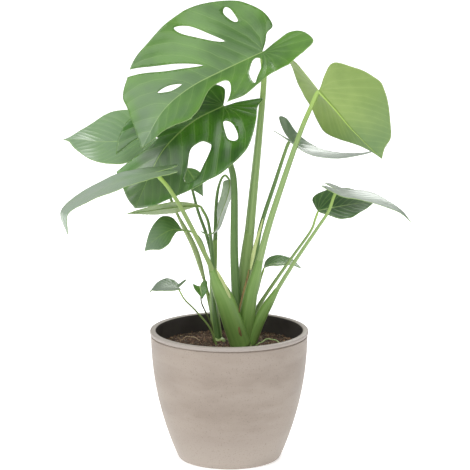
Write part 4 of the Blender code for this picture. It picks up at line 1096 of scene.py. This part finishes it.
def stalk_finish(name, streaks, dark, light, tip, margin=None):
    """The skin of a stalk, or of a sheath when its margins have a colour of their own."""
    made, w, inputs = new_material(name, 0.42)
    along = read(w, "along", "Fac")
    turn = read(w, "round_it", "Fac")
    pattern = w.node("ShaderNodeGroup", {"Around": turn, "Along": along}, node_tree=streaks).outputs
    streaked = w.math("MULTIPLY_ADD", pattern["Streak"], 0.3 if margin else 0.5, 0.3)
    colour = w.mix(streaked, tone(dark), tone(light))
    colour = w.mix(w.rise(along, 0.75, 1.05), colour, tone(tip))
    cloud = w.rise(w.noise(object_place(w), 45.0, 3.0), 0.4, 0.7)
    colour = w.mix(w.math("MULTIPLY", cloud, 0.25), colour, tone(light))
    if margin:
        off_middle = w.math("ABSOLUTE", w.math("SUBTRACT", turn, 0.5 * SHEATH_TURN))
        edge = w.rise(off_middle, 0.3 * SHEATH_TURN, 0.5 * SHEATH_TURN)
        colour = w.mix(w.math("MULTIPLY", edge, 0.8), colour, tone(margin))
    w.feed(inputs["Base Color"], colour)
    bumped(w, inputs, pattern["Thread"], 0.08, 0.0004)
    return made


def strip_finish(name, streaks, first, second, roughness):
    """Papery or dried tissue, patchy along its fibres."""
    made, w, inputs = new_material(name, roughness)
    parts = w.node("ShaderNodeSeparateXYZ", {0: object_place(w)}).outputs
    turn = w.math("MULTIPLY", w.math("ADD", parts[0], parts[1]), 60.0)
    pattern = w.node("ShaderNodeGroup", {"Around": turn, "Along": w.math("MULTIPLY", parts[2], 12.0)},
                     node_tree=streaks).outputs
    w.feed(inputs["Base Color"], w.mix(pattern["Streak"], tone(first), tone(second)))
    bumped(w, inputs, pattern["Thread"], 0.4, 0.0004)
    return made


def pot_finish(speckle):
    """Matt stone-coloured glaze outside, a greyer lip, and a dark glaze inside."""
    made, w, inputs = new_material("pot_glaze", 0.55)
    place = object_place(w)
    parts = w.node("ShaderNodeSeparateXYZ", {0: place}).outputs
    pattern = w.node("ShaderNodeGroup", {"Place": place, "Cloud scale": 26.0, "Speck scale": 620.0},
                     node_tree=speckle).outputs
    squashed = w.node("ShaderNodeMapping", {"Vector": place, "Scale": (1.0, 1.0, 4.0)}).outputs[0]
    bands = w.rise(w.noise(squashed, 9.0, 3.0, 0.55), 0.35, 0.65)
    colour = w.mix(w.math("MULTIPLY_ADD", bands, 0.5, 0.2), tone(POT_DARK), tone(POT_LIGHT))
    colour = w.mix(w.math("MULTIPLY", pattern["Cloud"], 0.35), colour, tone(POT_LIGHT))
    # Painted bounce light from the floor, fading out up the pot.
    colour = w.mix(w.falloff(parts[2], 0.0, BOUNCE_LIGHT_REACH), colour, tone(POT_BOUNCE_LIGHT))
    colour = w.mix(w.math("MULTIPLY", pattern["Speck"], 0.35), colour, tone(POT_SPECK))
    lip_foot = POT_HEIGHT - LIP_HEIGHT
    in_lip = w.rise(parts[2], lip_foot * MM, (lip_foot + 1.2) * MM)
    colour = w.mix(w.math("MULTIPLY", in_lip, 0.85), colour, tone(POT_LIP))
    colour = w.mix(w.math("MULTIPLY", pattern["Speck"], 0.1), colour, tone(POT_SPECK))
    inside_glaze = w.mix(pattern["Cloud"], tone(POT_INSIDE_DARK), tone(POT_INSIDE_LIGHT))
    inner = w.rise(w.math("SUBTRACT", 1.0, read(w, "outer", "Fac")), 0.35, 0.65)
    w.feed(inputs["Base Color"], w.mix(inner, colour, inside_glaze))
    w.feed(inputs["Roughness"], w.math("MULTIPLY_ADD", pattern["Cloud"], 0.14, 0.42))
    bumped(w, inputs, pattern["Grain"], 0.18, 0.0004)
    return made


def earth_finish(name, speckle, dark, light, speck_scale, roughness):
    made, w, inputs = new_material(name, roughness)
    pattern = w.node("ShaderNodeGroup", {"Place": object_place(w), "Cloud scale": 160.0,
                                         "Speck scale": speck_scale}, node_tree=speckle).outputs
    w.feed(inputs["Base Color"], w.mix(pattern["Cloud"], tone(dark), tone(light)))
    bumped(w, inputs, pattern["Grain"], 0.6, 0.0006)
    return made


def make_finishes():
    """Every material, by its name."""
    veins = make_vein_group("ShaderNodeTree")
    speckle = make_speckle_group()
    streaks = make_streak_group()
    finishes = {name: leaf_finish(name, veins, **face) for name, face in LEAF_FACES.items()}
    for name, skin in STALK_SKINS.items():
        finishes[name] = stalk_finish(name, streaks, **skin)
    for name, skin in STRIP_SKINS.items():
        finishes[name] = strip_finish(name, streaks, *skin)
    finishes["pot_glaze"] = pot_finish(speckle)
    for name, earth in EARTHS.items():
        finishes[name] = earth_finish(name, speckle, *earth)
    return finishes


# Pieces


def socket_ids(tree):
    """The identifier of each named input of a node tree."""
    return {item.name: item.identifier for item in tree.interface.items_tree
            if item.item_type == "SOCKET" and item.in_out == "INPUT"}


def bare_mesh(name, points, edges=(), faces=(), attributes=()):
    """A mesh from points in millimetres; attributes are (name, kind, values at its points)."""
    mesh = bpy.data.meshes.new(name)
    mesh.from_pydata((np.asarray(points) * MM).tolist(), [tuple(map(int, e)) for e in edges],
                     [tuple(map(int, f)) for f in faces])
    for label, kind, values in attributes:
        layer = mesh.attributes.new(label, kind, "POINT")
        field = "value" if kind == "FLOAT" else "vector"
        layer.data.foreach_set(field, np.asarray(values, float).ravel())
    return mesh


def grown(name, mesh, tree, **values):
    """The mesh that a node tree makes from this one."""
    start = bpy.data.objects.new(name + "_start", mesh)
    bpy.context.scene.collection.objects.link(start)
    grow = start.modifiers.new("grow", "NODES")
    grow.node_group = tree
    ids = socket_ids(tree)
    for label, value in values.items():
        grow[ids[label.replace("_", " ")]] = value
    graph = bpy.context.evaluated_depsgraph_get()
    made = bpy.data.meshes.new_from_object(start.evaluated_get(graph))
    made.name = name
    bpy.data.objects.remove(start, do_unlink=True)
    bpy.data.meshes.remove(mesh)
    return made


def piece(name, meshes, nodes):
    """One finished object from one or more meshes, standing for these nodes of the frame."""
    parts = []
    for number, mesh in enumerate(meshes):
        part = bpy.data.objects.new(name if number == 0 else f"{name}_{number}", mesh)
        bpy.context.scene.collection.objects.link(part)
        parts.append(part)
    made = parts[0]
    if len(parts) > 1:
        with bpy.context.temp_override(active_object=made, selected_objects=parts,
                                       selected_editable_objects=parts):
            bpy.ops.object.join()
    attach(made, "root")
    if nodes:
        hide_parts(*nodes)
    return made


def make_leaf(name, tree, finishes):
    """A finished blade, with the values on its points that the tree and the finishes read."""
    look = LOOKS[name]
    points, faces, flat, length = leaf_sheet(name)
    # How much painted sheen, standing in for reflection, each point takes along the rib.
    start, end = look["painted_sheen"]
    painted_sheen = ease((flat[:, 0] / length - start) / (end - start))
    loops = [whole_outline(BLADES[name])[0], *hole_loops(BLADES[name])]
    margin = np.min([loop_distance(flat, loop) for loop in loops], axis=0)
    count = len(flat)
    lean = math.radians(look["lean"])
    veins_and_sheen = np.column_stack([np.full(count, look["spacing"]), np.full(count, lean), painted_sheen])
    sheet = bare_mesh(name, points, faces=faces, attributes=[
        ("flat", "FLOAT_VECTOR", np.column_stack([flat, np.full(count, length)])),
        ("veins_and_sheen", "FLOAT_VECTOR", veins_and_sheen), ("margin", "FLOAT", margin)])
    return grown(name, sheet, tree, Thickness=BLADE_THICKNESS * MM, Quilt_depth=look["quilt"] * MM,
                 Vein_spacing=look["spacing"], Vein_lean=lean,
                 Upper_face=finishes[look["top"]], Lower_face=finishes[look["under"]])


def path_mesh(name, centres, radii, facing, along):
    """A path of edges whose points carry what the sweeps read."""
    edges = zip(range(len(centres) - 1), range(1, len(centres)))
    return bare_mesh(name, centres, edges=edges, attributes=[
        ("radius", "FLOAT", np.asarray(radii) * MM), ("facing", "FLOAT_VECTOR", facing),
        ("along", "FLOAT", along)])


def square_to(directions, tangents):
    """The directions, turned square to a path."""
    return unit(directions - tangents * np.sum(directions * tangents, axis=-1, keepdims=True))


def upper_normals(name, shares):
    """Which way the upper face of a blade looks along its rib."""
    blade = BLADES[name]
    rib, lengths = rib_frame(blade)
    tangents = unit(np.gradient(rib, axis=0))
    left, right = (width_vectors(blade, side, shares) for side in ("left", "right"))
    at = shares * lengths[-1]
    tangents = np.stack([np.interp(at, lengths, tangents[:, k]) for k in range(3)], axis=-1)
    return unit(np.cross(tangents, unit(left) - unit(right)))


def relaxed(values, rounds):
    """Values along a line, each evened out with its neighbours."""
    for _ in range(rounds):
        values[1:-1] = (values[:-2] + 2 * values[1:-1] + values[2:]) / 4
    return values


def under_rib(name, thickness):
    """The ridge that a stalk makes under the rib of its blade: shares, centres, radii and up."""
    rib, lengths = rib_frame(BLADES[name])
    shares = np.linspace(0, RIDGE_REACH, RIDGE_POINTS)
    up = upper_normals(name, shares)
    radii = np.maximum(LEAST_RIDGE, thickness * (1 - shares) ** 1.1)
    centres = np.stack([np.interp(shares * lengths[-1], lengths, rib[:, k]) for k in range(3)], axis=-1)
    return shares, centres - up * (radii * RIDGE_SINK)[:, None], radii, up


def stalk_radii(stalk, lengths, held_to):
    """Radii of a stalk at these distances from its foot, wider where a crown holds it."""
    foot, neck, top = stalk["radii"]
    held = np.clip(lengths / held_to, 0, 1)
    free = np.clip((lengths - held_to) / (lengths[-1] - held_to), 0, 1)
    radii = foot + (neck - foot) * held + (top - neck) * free
    if "belly" in stalk:
        radii += (stalk["belly"] - (foot + neck) / 2) * np.sin(math.pi * held) * (held < 1)
    left = np.clip((lengths[-1] - lengths) / (KNEE_LENGTH * top), 0, 1)
    return radii * np.interp(left, *KNEE)


def stalk_path(name):
    """Centres, radii, facing and station of a stalk, from its foot through to the tip of its rib."""
    stalk = STALKS[name]
    ridge = min(0.5 * stalk["radii"][2], THICKEST_RIDGE)
    shares, on_rib, rib_radii, up = under_rib(name, ridge)
    path = plant_points(stalk["path"])
    path[0, 2] -= FOOT_SINK
    free_part = smooth(np.vstack([path, on_rib[:1]]), 14)
    lengths = lengths_along(free_part)
    held_to = 1.0
    if "held" in stalk:
        held_to = np.interp(SOIL_TOP + stalk["held"], free_part[:, 2], lengths)
    centres = np.vstack([free_part, on_rib[1:]])
    radii = np.concatenate([stalk_radii(stalk, lengths, held_to), rib_radii[1:]])
    tangents = unit(np.gradient(centres, axis=0))
    leaning = np.array([0.0, 0.0, 1.0]) - GROOVE_LEAN * centres * [1, 1, 0]
    facing = square_to(leaning, tangents)
    facing[len(free_part):] = square_to(up[1:], tangents[len(free_part):])
    for _ in range(12):
        facing[1:-1] = facing[:-2] + 2 * facing[1:-1] + facing[2:]
        facing = square_to(facing, tangents)
    along = np.concatenate([lengths / lengths[-1], 1 + shares[1:]])
    return centres, relaxed(radii, 3), facing, along


def make_stalk(name, tree, finishes):
    path = path_mesh(name + "_stalk", *stalk_path(name))
    groove = DEEP_GROOVE if STALKS[name]["radii"][1] > 2 else SHALLOW_GROOVE
    return grown(name + "_stalk", path, tree, Groove=groove, Groove_width=0.55,
                 Finish=finishes[STALK_FINISH.get(name, "stalk_skin")])


def strip_line(strip):
    """Centres and half widths of a sheath or a scrap."""
    shape = strip.get("widths", strip.get("swell"))
    stops = np.linspace(0, 1, len(shape))
    if "line" in strip:
        centres = smooth(plant_points(strip["line"]), 6)
        return centres, np.interp(np.linspace(0, 1, len(centres)), stops, shape)
    centres, radii = stalk_path(strip["stalk"])[:2]
    low, high = (SOIL_TOP + height for height in strip["heights"])
    count = np.argmax(centres[:, 2] > high) + 1
    at = np.linspace(low, high, 30)
    heights = centres[:count, 2]
    placed = np.stack([np.interp(at, heights, centres[:count, k]) for k in range(3)], axis=-1)
    own = np.interp(at, heights, radii[:count])
    return placed, own + np.interp(np.linspace(0, 1, len(at)), stops, shape)


def make_strip(name, tree, finishes):
    strip = SHEATHS[name]
    centres, widths = strip_line(strip)
    tangents = unit(np.gradient(centres, axis=0))
    facing = square_to(np.tile(np.asarray(strip["out"], float), (len(centres), 1)), tangents)
    along = np.linspace(0, 0.7, len(centres))
    path = path_mesh(name, centres, relaxed(widths, 2), facing, along)
    return grown(name, path, tree, Wrap=math.radians(strip["wrap"]), Finish=finishes[strip["finish"]])


def wall_radius(height):
    """Outer radius of the pot's wall at a height."""
    rise = 1 - (1 - height / POT_HEIGHT) ** BELLY_POWER
    return BASE_RADIUS + (RIM_RADIUS - LIP_PROUD - BASE_RADIUS) * rise


def inner_radius(height):
    return wall_radius(height) - WALL + LIP_PROUD


def rounded(corner, before, after, radius, steps=5):
    """Points that round a corner of a profile."""
    corner, before, after = (np.asarray(p, float) for p in (corner, before, after))
    start = corner + unit(before - corner) * radius
    end = corner + unit(after - corner) * radius
    turns = np.linspace(0, 1, steps)[:, None]
    return (1 - turns) ** 2 * start + 2 * turns * (1 - turns) * corner + turns ** 2 * end


def pot_profile():
    """The pot's (radius, height) profile, and which of its points carry the outside glaze."""
    lip_foot = POT_HEIGHT - LIP_HEIGHT
    outer_rim, inner_rim = (RIM_RADIUS, POT_HEIGHT), (inner_radius(POT_HEIGHT), POT_HEIGHT)
    lip_edge = (RIM_RADIUS, lip_foot + LIP_PROUD)
    outer_wall = np.array([(wall_radius(z), z) for z in np.linspace(BASE_ROUND, lip_foot, 60)])
    inner_wall = np.array([(inner_radius(z), z) for z in np.linspace(lip_foot, FLOOR + BASE_ROUND, 40)])
    outside = np.vstack([
        [(0.0, 0.0), (BASE_RADIUS * 0.6, 0.0)],
        rounded((BASE_RADIUS, 0.0), (0.0, 0.0), outer_wall[0], BASE_ROUND * 0.8),
        outer_wall,
        rounded((RIM_RADIUS - LIP_PROUD, lip_foot + 0.2), outer_wall[-1], lip_edge, 0.3, 3),
        rounded(lip_edge, outer_wall[-1], outer_rim, 0.6),
        rounded(outer_rim, (RIM_RADIUS, lip_foot), inner_rim, LIP_ROUND),
    ])
    inside_edge = rounded(inner_rim, outer_rim, (inner_rim[0], lip_foot), LIP_ROUND)
    inside = np.vstack([
        inside_edge,
        inner_wall,
        rounded((inner_radius(FLOOR), FLOOR), inner_wall[-1], (0.0, FLOOR), BASE_ROUND * 0.8),
        [(0.0, FLOOR)],
    ])
    glazed = len(outside) + (len(inside_edge) + 1) // 2
    return np.vstack([outside, inside]), np.arange(len(outside) + len(inside)) < glazed


def make_pot(tree, finishes):
    profile, outer = pot_profile()
    chain = np.column_stack([profile[:, 0], -profile[:, 1], np.zeros(len(profile))])
    edges = zip(range(len(chain) - 1), range(1, len(chain)))
    mesh = bare_mesh("pot", chain, edges=edges, attributes=[("outer", "FLOAT", outer)])
    return grown("pot", mesh, tree, Finish=finishes["pot_glaze"])


def soil_height(x, y):
    """The uneven top of the soil, in millimetres."""
    mound = 9.0 * np.exp(-(((x + 40) / 24) ** 2 + ((y - 4) / 26) ** 2))
    collar = 2.5 * np.exp(-(((x - 12) / 20) ** 2 + ((y - 8) / 18) ** 2))
    lumps = (np.sin(x * 0.23 + 1.3) * np.sin(y * 0.29 + 0.4) + 0.7 * np.sin(x * 0.47 + y * 0.31)
             + 0.5 * np.sin(y * 0.71 - x * 0.37))
    fine = np.sin(x * 1.7 + 3 * np.sin(y * 0.9)) * np.sin(y * 1.9 + 2 * np.sin(x * 1.1))
    return SOIL_TOP - 1.2 + mound + collar + 0.55 * lumps + 0.3 * fine


def soil_parts():
    """Points and faces of the closed body of the soil, then the count of points and faces on top."""
    edge = inner_radius(SOIL_TOP) - SOIL_GAP
    angles = np.linspace(0, 2 * math.pi, SOIL_TURNS, endpoint=False)
    points = [(0.0, 0.0, soil_height(0.0, 0.0))]
    for radius in np.linspace(0, edge, SOIL_RINGS + 1)[1:]:
        for angle in angles:
            x, y = radius * math.cos(angle), radius * math.sin(angle)
            points.append((x, y, soil_height(x, y)))
    faces = [(0, 1 + k, 1 + (k + 1) % SOIL_TURNS) for k in range(SOIL_TURNS)]
    for ring in range(SOIL_RINGS - 1):
        for k in range(SOIL_TURNS):
            a = 1 + ring * SOIL_TURNS + k
            b = 1 + ring * SOIL_TURNS + (k + 1) % SOIL_TURNS
            faces.append((a, a + SOIL_TURNS, b + SOIL_TURNS, b))
    top_points, top_faces = len(points), len(faces)
    last = top_points - SOIL_TURNS
    low = FLOOR + BASE_ROUND + FLOOR_CLEAR
    for height in np.linspace(SOIL_TOP - SOIL_SHOULDER, low, SOIL_SIDE_RINGS):
        radius = inner_radius(height) - SOIL_GAP
        start = len(points)
        points += [(radius * math.cos(a), radius * math.sin(a), height) for a in angles]
        for k in range(SOIL_TURNS):
            after = (k + 1) % SOIL_TURNS
            faces.append((last + k, start + k, start + after, last + after))
        last = start
    faces.append(tuple(last + k for k in reversed(range(SOIL_TURNS))))
    return points, faces, top_points, top_faces


def make_soil(trees, finishes):
    points, faces, top_points, top_faces = soil_parts()
    body = bare_mesh("soil", points, faces=faces)
    body.materials.append(finishes["potting_soil"])
    body.shade_smooth()

    def strewn_on_top(name, tree, finish, values):
        ground = bare_mesh(name + "_ground", points[:top_points], faces=faces[:top_faces])
        return grown(name, ground, tree, Finish=finishes[finish], **values)

    crumbs = strewn_on_top("soil_crumbs", trees["scatter"], "soil_crumb", CRUMBS)
    bark = strewn_on_top("soil_bark", trees["scatter"], "soil_bark", BARK)
    fibres = strewn_on_top("soil_fibres", trees["fibre"], "fibre_straw", FIBRES)
    piece("soil_bed", [body], ["soil"])
    piece("soil_crumbs", [crumbs, bark], [])
    piece("soil_fibres", [fibres], [])


def make_strand(name, route, radius, lift, tree, finish):
    """A root or a fibre that lies on the soil."""
    line = smooth(route, 8)
    ground = soil_height(line[:, 0], line[:, 1])
    centres = np.column_stack([line[:, 0], line[:, 1], ground + line[:, 2] + lift])
    share = np.linspace(0, 1, len(centres))
    radii = radius * np.interp(share, [0, 0.1, 0.85, 1], [0.5, 1, 0.9, 0.3])
    tangents = unit(np.gradient(centres, axis=0))
    facing = square_to(np.tile([0.0, 0.0, 1.0], (len(centres), 1)), tangents)
    path = path_mesh(name, centres, radii, facing, share)
    return grown(name, path, tree, Sides=10, Groove=0.0, Finish=finish)


def make_bulb(name, finishes):
    """The swollen foot that sheaths share at the soil."""
    (x, y, z), (wide, deep, high) = BULBS[name]
    turns, rings = BULB_TURNS, BULB_RINGS
    points, faces = [], []
    for ring in range(rings + 1):
        height = math.cos(math.pi * ring / rings)
        around = math.sin(math.pi * ring / rings) + 1e-4
        for k in range(turns):
            angle = 2 * math.pi * k / turns
            reach = around * (1 + BULB_CREASE * math.cos(3 * angle + 1.0))
            points.append((x + wide * reach * math.cos(angle), y + deep * reach * math.sin(angle),
                           SOIL_TOP + z + high * height))
    for ring in range(rings):
        for k in range(turns):
            a, b = ring * turns + k, ring * turns + (k + 1) % turns
            faces.append((a, a + turns, b + turns, b))
    faces.append(tuple(reversed(range(turns))))
    faces.append(tuple(rings * turns + k for k in range(turns)))
    turn = np.tile(np.linspace(0, 1, turns, endpoint=False), rings + 1)
    mesh = bare_mesh(name, points, faces=faces, attributes=[
        ("along", "FLOAT", np.full(len(points), 0.1)), ("round_it", "FLOAT", turn)])
    mesh.materials.append(finishes["sheath_skin"])
    mesh.shade_smooth()
    return mesh


def make_plant(trees, finishes):
    """Every leaf and stalk, and the sheaths of both crowns."""
    for name in BLADES:
        piece(name + "_blade", [make_leaf(name, trees["leaf"], finishes)], [name])
        piece(name + "_petiole", [make_stalk(name, trees["stalk"], finishes)], [name + "_stalk"])
    strips = {name: make_strip(name, trees["sheath"], finishes) for name in SHEATHS}
    main_bulb = make_bulb("main_bulb", finishes)
    side_bulb = make_bulb("side_bulb", finishes)
    piece("main_crown_sheaths", [main_bulb, *(strips[name] for name in MAIN_SHEATHS)], ["main_crown"])
    piece("side_crown_sheaths", [side_bulb, *(strips[name] for name in SIDE_SHEATHS)], ["side_crown"])


def make_ground_scraps(tree, finishes):
    root = make_strand("root_loop", ROOT_ROUTE, ROOT_RADIUS, 0.6, tree, finishes["root_skin"])
    piece("root_loop_skin", [root], ["root_loop"])
    straw = make_strand("straw", STRAW_ROUTE, STRAW_RADIUS, 0.5, tree, finishes["fibre_straw"])
    piece("soil_fibre_skin", [straw], ["soil_fibre"])


# Studio


def make_room():
    """A white surround and a pale floor that glows a little."""
    scene = bpy.context.scene
    scene.view_settings.view_transform = "Standard"
    scene.world = bpy.data.worlds.new("white_room")
    scene.world.use_nodes = True
    background = scene.world.node_tree.nodes["Background"].inputs
    background["Color"].default_value = (1.0, 1.0, 1.0, 1.0)
    background["Strength"].default_value = ROOM_LIGHT
    mesh = bpy.data.meshes.new("floor")
    corners = [(-1, -1), (1, -1), (1, 1), (-1, 1)]
    mesh.from_pydata([(x * FLOOR_HALF, y * FLOOR_HALF, 0) for x, y in corners], [], [(0, 1, 2, 3)])
    made, _, inputs = new_material("floor_white", 0.9)
    inputs["Base Color"].default_value = (0.98, 0.98, 0.98, 1.0)
    inputs["Emission Color"].default_value = (1.0, 1.0, 1.0, 1.0)
    inputs["Emission Strength"].default_value = FLOOR_GLOW
    mesh.materials.append(made)
    floor = bpy.data.objects.new("floor", mesh)
    scene.collection.objects.link(floor)


def direction_angles(place, aim):
    """The turn of a lamp at one place that shines on another."""
    way = np.asarray(aim, float) - np.asarray(place, float)
    flat = math.hypot(way[0], way[1])
    return (math.atan2(flat, -way[2]), 0.0, math.atan2(way[1], way[0]) - math.pi / 2)


def make_lamps():
    """The soft lamps, and a wide soft sun from the front."""
    for name, (place, aim, size, power) in LAMPS.items():
        data = bpy.data.lights.new(name, "AREA")
        data.shape = "DISK"
        data.size = size
        data.energy = power
        lamp = bpy.data.objects.new(name, data)
        lamp.location = place
        lamp.rotation_euler = direction_angles(place, aim)
        bpy.context.scene.collection.objects.link(lamp)
    sun_data = bpy.data.lights.new("soft_sun", "SUN")
    sun_data.energy = SUN_STRENGTH
    sun_data.angle = math.radians(SUN_SPREAD)
    sun = bpy.data.objects.new("soft_sun", sun_data)
    sun.rotation_euler = direction_angles(SUN_FROM, (0.0, 0.0, 0.0))
    bpy.context.scene.collection.objects.link(sun)


def make_camera():
    """The camera in front, a little above the plant."""
    data = bpy.data.cameras.new("camera")
    data.lens = CAMERA_LENS
    data.sensor_width = 36.0
    camera = bpy.data.objects.new("camera", data)
    camera.location = CAMERA_PLACE
    camera.rotation_euler = (math.radians(CAMERA_TILT), 0.0, 0.0)
    bpy.context.scene.collection.objects.link(camera)
    bpy.context.scene.camera = camera


def main():
    finishes = make_finishes()
    trees = {"leaf": make_leaf_tree(make_vein_group("GeometryNodeTree")), "stalk": make_stalk_tree(),
             "sheath": make_sheath_tree(), "turned": make_turned_tree(), "scatter": make_scatter_tree(),
             "fibre": make_fibre_tree()}
    piece("pot_body", [make_pot(trees["turned"], finishes)], ["pot"])
    make_soil(trees, finishes)
    make_plant(trees, finishes)
    make_ground_scraps(trees["stalk"], finishes)
    make_room()
    make_lamps()
    make_camera()


main()
